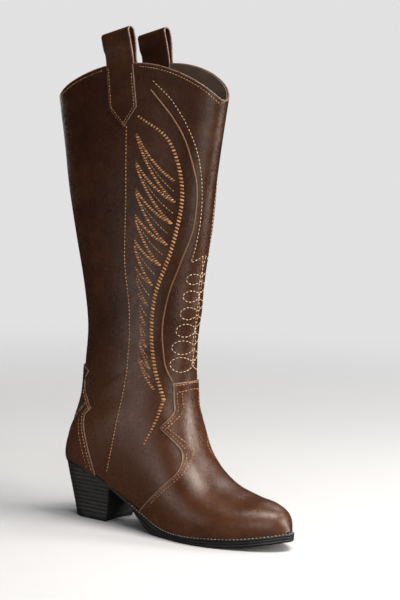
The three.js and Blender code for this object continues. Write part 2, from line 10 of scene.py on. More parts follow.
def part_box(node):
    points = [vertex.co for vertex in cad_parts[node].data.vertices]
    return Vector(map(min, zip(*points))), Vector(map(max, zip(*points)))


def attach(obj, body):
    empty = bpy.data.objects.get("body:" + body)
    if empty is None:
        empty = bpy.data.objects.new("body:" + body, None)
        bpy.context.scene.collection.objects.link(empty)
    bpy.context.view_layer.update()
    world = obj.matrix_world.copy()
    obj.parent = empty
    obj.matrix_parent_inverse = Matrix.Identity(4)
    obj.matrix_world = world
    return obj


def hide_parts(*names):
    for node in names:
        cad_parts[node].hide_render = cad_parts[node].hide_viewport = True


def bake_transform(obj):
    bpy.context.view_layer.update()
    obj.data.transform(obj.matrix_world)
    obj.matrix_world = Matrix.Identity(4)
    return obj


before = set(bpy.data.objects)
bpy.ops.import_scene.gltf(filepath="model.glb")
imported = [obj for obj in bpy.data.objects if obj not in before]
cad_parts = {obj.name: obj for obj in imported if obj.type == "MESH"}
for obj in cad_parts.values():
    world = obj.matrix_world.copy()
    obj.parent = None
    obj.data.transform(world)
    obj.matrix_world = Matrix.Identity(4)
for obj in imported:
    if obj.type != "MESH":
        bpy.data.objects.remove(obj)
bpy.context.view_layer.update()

# Lengths are millimetres in the boot's own frame, with x from the heel towards the toe,
# -y on the outer side of the foot and z up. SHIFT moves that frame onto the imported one.
TOP_LIFT_BREAST = 62.72
lift_low, lift_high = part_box("heel_top_lift")
SHIFT = np.array([
    lift_high[0] * 1000 - TOP_LIFT_BREAST,
    (lift_low[1] + lift_high[1]) * 500,
    0.0,
])
OUTER, INNER = -1, 1


def row_frame(points):
    """Points of the boot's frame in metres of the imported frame."""
    return (np.asarray(points, float) + SHIFT) / 1000


def smooth(low, high, x):
    t = np.clip((np.asarray(x, float) - low) / (high - low), 0, 1)
    return t * t * (3 - 2 * t)


def bump_at(x, centre, width):
    return np.exp(-(((np.asarray(x, float) - centre) / width) ** 2))


def unit(a):
    return a / np.maximum(np.linalg.norm(a, axis=-1, keepdims=True), 1e-12)


# ---------- the surface of the upper ----------

# Girth lines from the toe tip to the collar: ridge x, z; half width; side x, y, z;
# edge x, y, z, on the feather line up to the heel and on the back line above it.
STATIONS = np.array([
    [259.5, 17.5, 0, 259.5, 0, 17.5, 259.5, 0, 17.5],
    [252.5, 33, 10, 248.5, 20, 23, 247.5, 17, 15],
    [235.5, 40.5, 20, 225, 36, 23, 224, 30, 11],
    [211.5, 44, 27, 199, 45, 24.5, 198, 38, 8.8],
    [183.5, 53.5, 30, 172, 46, 30, 171, 40, 7.2],
    [162, 74, 31, 142, 44, 39, 140, 35, 9],
    [151, 99, 32, 111, 40, 61, 104, 29, 22.5],
    [145, 124, 33, 80, 39, 81, 68, 29, 40.5],
    [144, 147, 33, 48, 39, 97, 36, 29, 52.5],
    [144.5, 168, 33, 21.5, 36, 99, 11, 21, 58],
    [145, 186, 33, 2.5, 35, 106, 1, 0, 60.5],
    [146, 201, 33, 17, 35, 118.5, 2.7, 0, 80.5],
    [148, 217, 33, 24.5, 34, 137, 12, 0, 113],
    [149, 234, 33, 22.5, 34, 164, 15.5, 0, 148],
    [151, 253, 33, 20, 33, 196, 18, 0, 186],
    [154, 276, 34, 12.5, 34, 234, 11.5, 0, 228],
    [157, 304, 34, -0.5, 34, 279, -0.5, 0, 276],
    [160, 335, 34, -11.5, 34, 324, -11.5, 0, 322],
    [164, 368, 34, -18.5, 34, 363, -18.5, 0, 362],
    [169, 404, 34, -26.5, 34, 402, -26.5, 0, 402],
    [176, 452, 34, -36, 34, 452, -36, 0, 452],
])
HEEL = 10
LAST = len(STATIONS) - 1
EDGES = STATIONS[:, 6:9]
TOE_SWING = 5
SWING_START = 120


def spline(points, t, before=None, after=None):
    """Smooth curve through evenly spaced points, with one more beyond each end."""
    points = np.asarray(points, float)
    before = 2 * points[0] - points[1] if before is None else before
    after = 2 * points[-1] - points[-2] if after is None else after
    p = np.vstack([before, points, after])
    t = np.clip(np.asarray(t, float), 0, len(points) - 1)
    i = np.minimum(np.floor(t).astype(int), len(points) - 2)
    f = (t - i)[..., None]
    p0, p1, p2, p3 = p[i], p[i + 1], p[i + 2], p[i + 3]
    m1, m2 = (p2 - p0) / 2, (p3 - p1) / 2
    return p1 + f * (m1 + f * (3 * (p2 - p1) - 2 * m1 - m2 + f * (2 * (p1 - p2) + m1 + m2)))


def smooth_line(points, per=8):
    """Points of a smooth open curve through hand-set ones."""
    return spline(points, np.linspace(0, len(points) - 1, (len(points) - 1) * per + 1))


MIRROR = np.array([1, -1, 1])


def edge_at(s):
    feather = spline(
        EDGES[: HEEL + 1], np.minimum(s, HEEL), EDGES[1] * MIRROR, EDGES[HEEL - 1] * MIRROR)
    back = spline(EDGES[HEEL:], np.maximum(s, HEEL) - HEEL)
    return np.where((s < HEEL)[..., None], feather, back)


EASE = 1.3
EASE_SPAN = 2.4


def eased_edge(s, w):
    """The edge, rounded off round the heel's back corner for points above the sole."""
    reach = EASE * np.sqrt(w) * np.clip(1 - np.abs(s - HEEL) / EASE_SPAN, 0, 1)
    return sum(share * edge_at(s + reach * step)
               for step, share in ((-1, 0.12), (-0.5, 0.23), (0, 0.3), (0.5, 0.23), (1, 0.12)))


def swing(x):
    return TOE_SWING * smooth(SWING_START, 270, x) ** 1.5


def upper(s, v, side):
    """Point of the upper on girth line s, a share v of the way from ridge to edge."""
    s, v, side = np.broadcast_arrays(
        np.asarray(s, float), np.asarray(v, float), np.asarray(side, float))
    q = spline(STATIONS[:, :6], s)
    w = 1 - v
    e = eased_edge(s, w)
    b01, b1, b2, b3 = w ** 3 + 3 * w * w * v, 3 * w * w * v, 3 * w * v * v, v ** 3
    x = b01 * q[..., 0] + b2 * q[..., 3] + b3 * e[..., 0]
    y = side * (b1 * q[..., 2] * 4 / 3 + b2 * q[..., 4] + b3 * e[..., 1])
    z = b01 * q[..., 1] + b2 * q[..., 5] + b3 * e[..., 2]
    return np.stack([x, y, z], -1)


def normals_of(surface, s, v, side):
    """Outward unit normals of a surface(s, v, side) that is shaped like the upper."""
    s, v, side = np.broadcast_arrays(
        np.asarray(s, float), np.asarray(v, float), np.asarray(side, float))
    step = 0.01
    across = surface(s, np.minimum(v + step, 1), side) - surface(s, np.maximum(v - step, 0), side)
    on_ridge = v < 1e-6
    across[on_ridge, 0] = 0
    across[on_ridge, 2] = 0
    along = surface(np.minimum(s + step, LAST), v, side) - surface(np.maximum(s - step, 0), v, side)
    n = unit(np.cross(across, along) * side[..., None])
    centre = on_ridge | ((v > 1 - 1e-6) & (s >= HEEL - 1e-6))
    n[centre, 1] = 0
    n[s < 0.05] = (1, 0, 0.15)
    return unit(n)


# Folds across the ankle: height, lean, half width and depth.
ANKLE_FOLDS = ((118, 0.22, 9, 0.7), (146, 0.30, 8, 0.9), (176, 0.28, 10, 0.8))


def relief(p):
    """Soft dents and folds of worn leather, in millimetres along the normal."""
    x, y, z = p[..., 0], p[..., 1], p[..., 2]
    side_on = smooth(8, 26, np.abs(y))
    roll = 0.5 * np.sin(z / 31 + x / 47 + 1.1 * np.sign(y)) * np.sin(x / 29 - z / 83 + 0.6)
    shaft = roll * smooth(180, 260, z) * (1 - smooth(400, 440, z)) * side_on
    ankle = 0
    for height, lean, width, depth in ANKLE_FOLDS:
        ankle = ankle - depth * bump_at(z - lean * (x - 60), height, width) * bump_at(x, 52, 44)
    instep = 0.5 * bump_at(z + 0.9 * (x - 150), 96, 7) - 0.6 * bump_at(z + 0.9 * (x - 150), 112, 8)
    instep = instep * bump_at(x, 150, 22) * smooth(4, 20, np.abs(y))
    return shaft + ankle * side_on + instep


def skin(s, v, side, offset=0.0):
    """Point at a distance along the outward normal of the upper, with its dents."""
    p = upper(s, v, side)
    n = normals_of(upper, s, v, side)
    p = p + n * (relief(p) + offset)[..., None]
    p[..., 1] += swing(p[..., 0])
    return p


def skin_normals(s, v, side):
    return normals_of(skin, s, v, side)


# ---------- side view to surface ----------

class SideView:
    """Finds the girth line and share of the point that lies at (x, z) in side view."""

    def __init__(self):
        self.s, self.v = np.meshgrid(np.linspace(0, LAST, 500), np.linspace(0, 1, 110), indexing="ij")
        p = upper(self.s, self.v, OUTER).reshape(-1, 3)
        self.tree = KDTree(len(p))
        for k, (x, _, z) in enumerate(p):
            self.tree.insert((x, z, 0), k)
        self.tree.balance()

    def __call__(self, points):
        found = [self.tree.find((x, z, 0))[1] for x, z in points]
        s, v = self.s.ravel()[found], self.v.ravel()[found]
        target = np.asarray(points, float)
        h = 1e-3
        for _ in range(6):
            p = upper(s, v, OUTER)[:, ::2]
            ds = (upper(np.minimum(s + h, LAST), v, OUTER)[:, ::2] - p) / h
            dv = (upper(s, v - h, OUTER)[:, ::2] - p) / -h
            det = ds[:, 0] * dv[:, 1] - ds[:, 1] * dv[:, 0]
            det = np.where(np.abs(det) < 20, np.inf, det)
            r = target - p
            step_s = (r[:, 0] * dv[:, 1] - r[:, 1] * dv[:, 0]) / det
            step_v = (ds[:, 0] * r[:, 1] - ds[:, 1] * r[:, 0]) / det
            s = np.clip(s + np.clip(step_s, -0.3, 0.3), 0, LAST)
            v = np.clip(v + np.clip(step_v, -0.02, 0.02), 0.001, 1)
        return np.stack([s, v], -1)


locate = SideView()
RIDGE_S = np.linspace(7, LAST, 900)


def at_heights(pairs):
    """(s, u) of points given as (z, u), with u the signed share next to the ridge."""
    out = []
    for z, u in pairs:
        heights = upper(RIDGE_S, abs(u), OUTER)[:, 2]
        out.append((np.interp(z, heights, RIDGE_S), u))
    return np.array(out)


# ---------- pattern lines of the upper, in side view (x, z) ----------

SIDE_SEAM = smooth_line([[77.5, 470], [77.5, 388], [80, 317], [81, 260], [88, 214], [89, 175],
                         [85, 120], [78, 82], [68, 47], [62, 10]])
TONGUE = [[300, 152], [160, 149.5], [136, 145.5]]
TONGUE_SIDE = smooth_line([[136, 145.5], [137.5, 130], [139, 119], [136, 111], [130.5, 103.5]])
VAMP_WING = smooth_line([[130.5, 103.5], [142, 93], [150.5, 83], [154.5, 71], [153, 61], [142, 49],
                         [126, 34], [104, 14]])
VAMP_LINE = np.vstack([TONGUE[:2], TONGUE_SIDE, VAMP_WING[1:]])
VAMP_LAP = [[300, 137], [149, 136], [145, 118], [143, 109], [152.5, 93], [159, 80], [162, 66],
            [152, 45], [122, 6]]
COUNTER_LOW = smooth_line([[58, 25], [53, 51], [45, 78], [38.5, 95], [38, 104], [45.5, 111]])
COUNTER_HIGH = smooth_line([[45.5, 111], [36, 119], [27, 127.5], [26, 137.5], [33.5, 145.5]])
COUNTER_LINE = np.vstack([COUNTER_LOW, COUNTER_HIGH[1:], [[20, 148.5], [-40, 150]]])
COLLAR_LINE = smooth_line([[-60, 380], [-30, 406], [2, 426], [50, 443], [95, 447.5], [130, 442],
                           [158, 429], [174, 411], [190, 380]])
STIFFENER_LINE = [[-40, 132], [18, 130], [40, 112], [62, 84], [84, 50], [78, 0]]
LINING_SPLIT = np.array([[100, -10], [134, 60], [152, 118], [300, 130]])
AHEAD, BEHIND, BELOW, ABOVE = 400, -200, -60, 520


def area(line, *corners):
    """Function that gives how far (x, z) lies inside the area a line and corners bound."""
    outline = np.vstack([line, np.reshape(corners, (-1, 2))])

    def inside(x, z):
        p = np.stack([np.ravel(x), np.ravel(z)], -1).astype(float)
        best = np.full(len(p), np.inf)
        within = np.zeros(len(p), bool)
        for a, b in zip(outline, np.roll(outline, -1, 0)):
            d = b - a
            t = np.clip((p - a) @ d / max(d @ d, 1e-12), 0, 1)
            best = np.minimum(best, ((p - a - t[:, None] * d) ** 2).sum(1))
            if b[1] != a[1]:
                crossing = a[0] + (p[:, 1] - a[1]) * d[0] / d[1]
                within ^= ((a[1] > p[:, 1]) != (b[1] > p[:, 1])) & (p[:, 0] < crossing)
        return (np.where(within, 1, -1) * np.sqrt(best)).reshape(np.shape(x))
    return inside


SEAM_LAP = 6
below_collar = area(COLLAR_LINE, (AHEAD, BELOW), (BEHIND, BELOW))
ahead_of_seam = area(SIDE_SEAM, (AHEAD, BELOW), (AHEAD, ABOVE))
behind_lap = area(SIDE_SEAM + (SEAM_LAP, 0), (BEHIND, BELOW), (BEHIND, ABOVE))
vamp_area = area(VAMP_LINE, (AHEAD, BELOW), (AHEAD, 152))
ahead_of_lap = area(VAMP_LAP, (122, BELOW), (AHEAD, BELOW))
counter_area = area(COUNTER_LINE, (BEHIND, 150), (BEHIND, BELOW))
stiffener_area = area(STIFFENER_LINE, (BEHIND, BELOW))
lining_ahead = area(LINING_SPLIT, (AHEAD, 130), (AHEAD, BELOW), (100, BELOW))
lining_behind = area(LINING_SPLIT - (0.4, 0), (AHEAD, 130), (AHEAD, ABOVE), (BEHIND, ABOVE),
                     (BEHIND, BELOW), (100, BELOW))


def both(*areas):
    return lambda x, z: np.min([a(x, z) for a in areas], axis=0)


def outside(a):
    return lambda x, z: -a(x, z)


# ---------- meshes ----------

def add_piece(name, points, faces, material, body="boot", nodes=(), slot=None, normals=None,
              fields=None, blend=None):
    """New mesh object from points in the boot's frame, riding on a body."""
    mesh = bpy.data.meshes.new(name)
    mesh.from_pydata(row_frame(points).tolist(), [], faces)
    mesh.polygons.foreach_set("use_smooth", [True] * len(mesh.polygons))
    mesh.materials.append(material)
    for field, values in (fields or {}).items():
        attribute = mesh.attributes.new(field, "FLOAT", "POINT")
        attribute.data.foreach_set("value", np.asarray(values, np.float32))
    mesh.update()
    if normals is not None:
        mesh.normals_split_custom_set_from_vertices(unit(np.asarray(normals)).tolist())
    piece = bpy.data.objects.new(name, mesh)
    bpy.context.scene.collection.objects.link(piece)
    if blend is None:
        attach(piece, body)
    else:
        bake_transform(piece)
    if nodes:
        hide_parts(*nodes)
    return piece


def add_solid(name, points, faces, material, sharp=38, **more):
    """A closed piece with outward faces, smooth but for its sharp edges."""
    piece = add_piece(name, points, faces, material, **more)
    work = bmesh.new()
    work.from_mesh(piece.data)
    bmesh.ops.remove_doubles(work, verts=work.verts, dist=1e-7)
    bmesh.ops.recalc_face_normals(work, faces=work.faces)
    work.to_mesh(piece.data)
    work.free()
    piece.data.set_sharp_from_angle(angle=math.radians(sharp))
    return piece


def grid_faces(rows, columns, wrap_columns=False):
    """Quads of a grid of points, row by row."""
    faces = []
    for i in range(rows - 1):
        for j in range(columns if wrap_columns else columns - 1):
            k, n = i + 1, (j + 1) % columns
            faces.append([i * columns + j, k * columns + j, k * columns + n, i * columns + n])
    return faces


def face_normal(points, face):
    a, b, c = (points[face[k]] for k in (0, 1, 2))
    return np.cross(b - a, c - a)


def faces_outward(points, normals, faces):
    """The faces, all turned over if most of them look against the normals."""
    vote = sum(
        np.sign(face_normal(points, f) @ normals[f[0]]) for f in faces[:: max(len(faces) // 200, 1)])
    return [f[::-1] for f in faces] if vote < 0 else faces


def close_sheet(base, out, shade, faces, low, high, rim):
    """Closed layer on a sheet: outer face, inner face and a rounded rim between them.

    Gives points, faces, normals and, for each point, the sheet's point it belongs to."""
    count = len(base)
    low = np.broadcast_to(np.asarray(low, float), count)
    high = np.broadcast_to(np.asarray(high, float), count)
    faces = faces_outward(base, out, faces)
    used = {}
    for face in faces:
        for a, b in zip(face, face[1:] + face[:1]):
            used[(a, b)] = True
    border = [(a, b) for a, b in used if (b, a) not in used]
    sideways = np.zeros((count, 3))
    for a, b in border:
        d = np.cross(unit(base[b] - base[a]), unit(out[a] + out[b]))
        sideways[a] += d
        sideways[b] += d
    reach = np.linalg.norm(sideways, axis=1)
    sideways = unit(sideways) * np.clip(2 / np.maximum(reach, 0.5), 1, 1.4)[:, None]
    top, bottom = base + out * high[:, None], base + out * low[:, None]
    points, normals, owner = [top, bottom], [shade, -shade], [np.arange(count)] * 2
    made = [list(f) for f in faces] + [[i + count for i in reversed(f)] for f in faces]
    ring = sorted({a for edge in border for a in edge})
    place = {a: k for k, a in enumerate(ring)}
    radius = np.minimum(rim, (high - low)[ring] * 0.49)
    profile = [(1, math.pi / 4), (1, math.pi / 2), (-1, math.pi / 2), (-1, math.pi / 4)]
    for end, angle in profile:
        depth = radius * (1 - math.cos(angle))
        height = high[ring] - depth if end > 0 else low[ring] + depth
        points.append(base[ring] + out[ring] * height[:, None]
                      + sideways[ring] * (radius * math.sin(angle))[:, None])
        normals.append(unit(sideways[ring]) * math.sin(angle) + shade[ring] * end * math.cos(angle))
        owner.append(np.array(ring))

    def at(row, a):
        if row == 0:
            return a
        return count + a if row == 5 else 2 * count + (row - 1) * len(ring) + place[a]

    for a, b in border:
        for row in range(5):
            made.append([at(row, b), at(row, a), at(row + 1, a), at(row + 1, b)])
    return np.vstack(points), made, np.vstack(normals), np.concatenate(owner)


GIRTH_S = np.linspace(0, LAST, 1601)
girth_points = upper(GIRTH_S[:, None], np.linspace(0, 1, 41)[None], OUTER)
GIRTH_STEP = np.linalg.norm(np.diff(girth_points, axis=0), axis=-1).max(1)
RUN = np.concatenate([[0], np.cumsum(GIRTH_STEP)])
GIRTH_LENGTH = np.linalg.norm(np.diff(girth_points, axis=1), axis=-1).sum(1)


def girth_rows(start, end, cell):
    """Girth lines between two stations, no further apart than the cell."""
    first, last = np.interp([start, end], GIRTH_S, RUN)
    rows = np.interp(np.linspace(first, last, int((last - first) / cell) + 2), RUN, GIRTH_S)
    if start < HEEL < end:
        rows[np.argmin(np.abs(rows - HEEL))] = HEEL
    return rows


def cut_grid(rows, shares, inside):
    """Points (s, v) and faces of the part of a grid that lies inside an area."""
    ni, nj = len(rows), len(shares)
    i, j = np.meshgrid(np.arange(ni, dtype=float), np.arange(nj, dtype=float), indexing="ij")

    def place(i, j):
        return np.interp(i, np.arange(ni), rows), np.interp(j, np.arange(nj), shares)

    def depth(i, j):
        p = upper(*place(i, j), OUTER)
        return inside(p[..., 0], p[..., 2])

    f = depth(i, j)
    fi, fj = np.gradient(f)
    fi[[0, -1]] = 0
    fj[:, [0, -1]] = 0
    slope = np.maximum(fi ** 2 + fj ** 2, 1e-9)
    near = (np.maximum(np.abs(f * fi), np.abs(f * fj)) / slope < 0.35) & (slope > 1e-4)
    start_i, start_j = i.copy(), j.copy()
    for _ in range(3):
        i = np.where(near, np.clip(i - f * fi / slope, start_i - 0.45, start_i + 0.45), i)
        j = np.where(near, np.clip(j - f * fj / slope, start_j - 0.45, start_j + 0.45), j)
        f = np.where(near, depth(i, j), f)
    f[near] = 0
    s, v = place(i, j)
    points = list(zip(s.ravel(), v.ravel()))
    crossings = {}

    def crossing(a, b):
        key = (min(a, b), max(a, b))
        if key not in crossings:
            t = flat[a] / (flat[a] - flat[b])
            crossings[key] = len(points)
            points.append((points[a][0] + t * (points[b][0] - points[a][0]),
                           points[a][1] + t * (points[b][1] - points[a][1])))
        return crossings[key]

    flat = f.ravel()
    faces = []
    for a in range(ni - 1):
        for b in range(nj - 1):
            cell = [a * nj + b, (a + 1) * nj + b, (a + 1) * nj + b + 1, a * nj + b + 1]
            values = [flat[k] for k in cell]
            if max(values) <= 1e-9:
                continue
            if min(values) >= 0:
                faces.append(cell)
                continue
            face = []
            for k, m in zip(cell, cell[1:] + cell[:1]):
                if flat[k] >= 0:
                    face.append(k)
                if flat[k] * flat[m] < 0:
                    face.append(crossing(k, m))
            if len(face) > 2:
                faces.append(face)
    used = sorted({k for face in faces for k in face})
    renumber = {k: n for n, k in enumerate(used)}
    return np.array([points[k] for k in used]), [[renumber[k] for k in face] for face in faces]


def both_sides(points, faces):
    """The cut grid on both sides of the boot, joined on the ridge and the back line."""
    s, v = points[:, 0], points[:, 1]
    shared = (v < 1e-6) | ((v > 1 - 1e-6) & (s > HEEL - 1e-6)) | (s < 1e-6)
    second = np.where(shared, np.arange(len(s)), 0)
    fresh = np.where(~shared)[0]
    second[fresh] = len(s) + np.arange(len(fresh))
    tips = np.where(s < 1e-6)[0]
    if len(tips):
        second[tips] = tips[0]
    merge = np.arange(len(s) + len(fresh))
    merge[tips] = tips[0] if len(tips) else 0
    made = []
    for face in faces + [[int(second[k]) for k in reversed(face)] for face in faces]:
        ring = [int(merge[k]) for k in face]
        ring = [k for n, k in enumerate(ring) if k != ring[n - 1]]
        if len(ring) > 2:
            made.append(ring)
    side = np.concatenate([np.full(len(s), OUTER), np.full(len(fresh), INNER)])
    s, v = np.concatenate([s, s[fresh]]), np.concatenate([v, v[fresh]])
    used = np.unique([k for face in made for k in face])
    renumber = np.zeros(len(s), int)
    renumber[used] = np.arange(len(used))
    return s[used], v[used], side[used], [[int(renumber[k]) for k in face] for face in made]


PANEL_RIM = 0.45
FAR_FROM_EDGE = 30.0


def panel(name, inside, layer, span, cell, material, slot, edge=None):
    """Closed layer of the upper inside an area between two girth lines."""
    rows = girth_rows(*span, cell)
    widest = GIRTH_LENGTH[(GIRTH_S >= span[0]) & (GIRTH_S <= span[1])].max()
    points, faces = cut_grid(rows, np.linspace(0, 1, int(widest / cell) + 2), inside)
    s, v, side, faces = both_sides(points, faces)
    flat = upper(s, v, side)
    x, z = flat[:, 0], flat[:, 2]

    low, high = (depth(s, x, z) if callable(depth) else depth for depth in layer)
    base = skin(s, v, side)
    points, faces, normals, owner = close_sheet(
        base, normals_of(upper, s, v, side), skin_normals(s, v, side), faces,
        low, high, PANEL_RIM)
    margin = edge(x, z) if edge else np.full(len(x), FAR_FROM_EDGE)
    margin = np.clip(margin, 0, FAR_FROM_EDGE)[owner]
    return add_piece(name, points, faces, material, nodes=[name], slot=slot, normals=normals,
                     fields={"margin": margin})


# ---------- materials ----------

class Shader:
    """A new material and short ways to add nodes to it; an input may be a value or a socket."""

    def __init__(self, name):
        self.material = bpy.data.materials.new(name)
        self.material.use_nodes = True
        self.tree = self.material.node_tree
        self.tree.nodes.clear()
        self.surface = self.add("ShaderNodeBsdfPrincipled")
        output = self.add("ShaderNodeOutputMaterial")
        self.tree.links.new(self.surface.outputs[0], output.inputs[0])
        self.place = self.add("ShaderNodeTexCoord").outputs["Object"]

    def add(self, kind, settings=None, **inputs):
        node = self.tree.nodes.new(kind)
        for key, value in (settings or {}).items():
            setattr(node, key, value)
        for key, value in inputs.items():
            self.put(node, key.replace("_", " "), value)
        return node

    def put(self, node, key, value):
        socket = node.inputs[key]
        if isinstance(value, bpy.types.NodeSocket):
            self.tree.links.new(value, socket)
        else:
            socket.default_value = value

    def noise(self, scale, detail=2.0, roughness=0.5, vector=None):
        node = self.add("ShaderNodeTexNoise", Scale=scale, Detail=detail, Roughness=roughness,
                        Vector=vector or self.place)
        return node.outputs["Fac"]

    def cells(self, scale, feature="F1"):
        node = self.add("ShaderNodeTexVoronoi", {"feature": feature}, Scale=scale,
                        Vector=self.place)
        return node.outputs["Distance"]

    def ramp(self, value, *stops):
        node = self.add("ShaderNodeValToRGB", Fac=value)
        elements = node.color_ramp.elements
        while len(elements) < len(stops):
            elements.new(0.5)
        for element, (place, colour) in zip(elements, stops):
            element.position = place
            element.color = (*colour, 1)
        return node.outputs["Color"]

    def remap(self, value, low, high, to_low=0.0, to_high=1.0):
        node = self.add("ShaderNodeMapRange", {"interpolation_type": "SMOOTHSTEP"}, Value=value)
        for key, number in (("From Min", low), ("From Max", high), ("To Min", to_low),
                            ("To Max", to_high)):
            node.inputs[key].default_value = number
        return node.outputs["Result"]

    def height(self):
        return self.add("ShaderNodeSeparateXYZ", Vector=self.place).outputs["Z"]

    def field(self, name):
        return self.add("ShaderNodeAttribute", {"attribute_name": name}).outputs["Fac"]

    def math(self, operation, a, b=0.0):
        node = self.add("ShaderNodeMath", {"operation": operation})
        self.put(node, 0, a)
        self.put(node, 1, b)
        return node.outputs[0]

    def mix(self, share, a, b):
        node = self.add("ShaderNodeMix", {"data_type": "RGBA"})
        self.put(node, 0, share)
        for key, value in ((6, a), (7, b)):
            self.put(node, key, value if isinstance(value, bpy.types.NodeSocket) else (*value, 1))
        return node.outputs[2]

    def bump(self, height, distance, strength=1.0, under=None):
        node = self.add("ShaderNodeBump", Height=height, Distance=distance, Strength=strength)
        if under is not None:
            self.tree.links.new(under, node.inputs["Normal"])
        return node.outputs["Normal"]

    def finish(self, colour, roughness, normal=None, **fixed):
        self.put(self.surface, "Base Color", colour)
        self.put(self.surface, "Roughness", roughness)
        if normal is not None:
            self.put(self.surface, "Normal", normal)
        for key, value in fixed.items():
            self.surface.inputs[key.replace("_", " ")].default_value = value
        return self.material


GLOSS_SPREAD = 0.08


def leather(name, deep, middle, light, rim, gloss=0.29, coat=0.0, painted_low_sheen=0.0):
    """Smooth finished leather: mottled dye, fine pores, soft creases, lighter cut edges, and a painted sheen
    that lightens it towards the bottom when asked.
    """
    sh = Shader(name)
    clouds = sh.math("ADD", sh.math("MULTIPLY", sh.noise(13, 3, 0.55), 0.55),
                     sh.math("MULTIPLY", sh.noise(48, 4, 0.6), 0.45))
    specks = sh.noise(260, 3, 0.55)
    colour = sh.ramp(clouds, (0.33, deep), (0.50, middle), (0.68, light))
    colour = sh.mix(sh.remap(specks, 0.45, 0.75, 0, 0.3), colour, deep)
    # Painted sheen: the colour is lightened towards the bottom (ankle and quarter), a painted reflection of
    # the pale floor.
    if painted_low_sheen:
        colour = sh.mix(sh.remap(sh.height(), 0.09, 0.21, painted_low_sheen, 0), colour, light)
    worn = sh.math("MULTIPLY", sh.remap(sh.field("margin"), 0.1, 0.9, 1, 0),
                   sh.remap(sh.noise(180, 3), 0.25, 0.6, 0.35, 1))
    colour = sh.mix(worn, colour, rim)
    pores = sh.cells(1150, "DISTANCE_TO_EDGE")
    pebbles = sh.noise(620, 3, 0.6)
    creases = sh.noise(75, 5, 0.62)
    normal = sh.bump(sh.noise(34, 2, 0.5), 0.002, 0.3)
    normal = sh.bump(creases, 0.0009, 0.4, normal)
    normal = sh.bump(pebbles, 0.00024, 0.45, normal)
    normal = sh.bump(sh.remap(pores, 0, 0.25), 0.0001, 0.35, normal)
    rough = sh.remap(sh.math("ADD", sh.math("MULTIPLY", creases, 0.6),
                             sh.math("MULTIPLY", specks, 0.4)),
                     0.3, 0.7, gloss - GLOSS_SPREAD, gloss + GLOSS_SPREAD)
    return sh.finish(colour, rough, normal, Coat_Weight=coat, Coat_Roughness=0.3,
                     Specular_IOR_Level=0.5, Specular_Tint=(1.0, 0.92, 0.85, 1))


def lining_leather(name):
    sh = Shader(name)
    colour = sh.ramp(sh.noise(35, 4, 0.6), (0.3, (0.085, 0.048, 0.027)), (0.55, (0.125, 0.074, 0.043)),
                     (0.8, (0.165, 0.102, 0.062)))
    pores = sh.cells(420)
    colour = sh.mix(sh.remap(pores, 0.05, 0.22, 0.5, 0), colour, (0.045, 0.025, 0.014))
    normal = sh.bump(sh.noise(700, 3), 0.0002, 0.6)
    normal = sh.bump(sh.remap(pores, 0.02, 0.2), 0.00025, 0.6, normal)
    return sh.finish(colour, sh.remap(sh.noise(90, 3), 0.3, 0.7, 0.72, 0.88), normal,
                     Sheen_Weight=0.15)


def thread(name, dark, middle, light):
    """Twisted sewing thread; each stitch carries its own tone."""
    sh = Shader(name)
    tone = sh.math("ADD", sh.math("MULTIPLY", sh.field("tone"), 0.8),
                   sh.math("MULTIPLY", sh.noise(900, 2), 0.25))
    colour = sh.ramp(tone, (0.1, dark), (0.45, middle), (0.85, light))
    normal = sh.bump(sh.noise(2600, 2), 0.0002, 0.6)
    return sh.finish(colour, sh.remap(sh.noise(1500, 1), 0.3, 0.7, 0.42, 0.62), normal,
                     Sheen_Weight=0.25)


def rubber(name, colour, dust, gloss):
    sh = Shader(name)
    scuffs = sh.noise(60, 5, 0.65)
    tint = sh.mix(sh.remap(scuffs, 0.5, 0.78, 0, 0.6), colour, dust)
    normal = sh.bump(sh.noise(1400, 3), 0.00012, 0.5)
    normal = sh.bump(sh.noise(160, 3), 0.0004, 0.25, normal)
    return sh.finish(tint, sh.remap(scuffs, 0.3, 0.75, gloss - 0.06, gloss + 0.14), normal)


def stacked(name):
    """Edge-dyed heel stack: black, with a fine horizontal grain in each lift."""
    sh = Shader(name)
    stretch = sh.add("ShaderNodeMapping", Vector=sh.place, Scale=(60, 60, 1800)).outputs[0]
    layers = sh.noise(1.0, 4, 0.6, stretch)
    colour = sh.ramp(layers, (0.3, (0.019, 0.017, 0.016)), (0.6, (0.036, 0.032, 0.030)),
                     (0.85, (0.066, 0.057, 0.051)))
    normal = sh.bump(layers, 0.0002, 0.5)
    return sh.finish(colour, sh.remap(sh.noise(120, 3), 0.3, 0.7, 0.34, 0.5), normal)


def board(name, low, high, scale):
    sh = Shader(name)
    fibres = sh.noise(scale, 5, 0.7)
    colour = sh.ramp(fibres, (0.3, low), (0.7, high))
    return sh.finish(colour, sh.remap(fibres, 0.3, 0.7, 0.8, 0.95), sh.bump(fibres, 0.0005, 0.6))


def steel(name):
    sh = Shader(name)
    brushed = sh.noise(1.0, 3, 0.6, sh.add("ShaderNodeMapping", Vector=sh.place,
                                           Scale=(1500, 1500, 90)).outputs[0])
    colour = sh.ramp(brushed, (0.3, (0.42, 0.42, 0.43)), (0.7, (0.6, 0.6, 0.61)))
    return sh.finish(colour, sh.remap(brushed, 0.3, 0.7, 0.28, 0.42), sh.bump(brushed, 0.0001, 0.4),
                     Metallic=1.0)
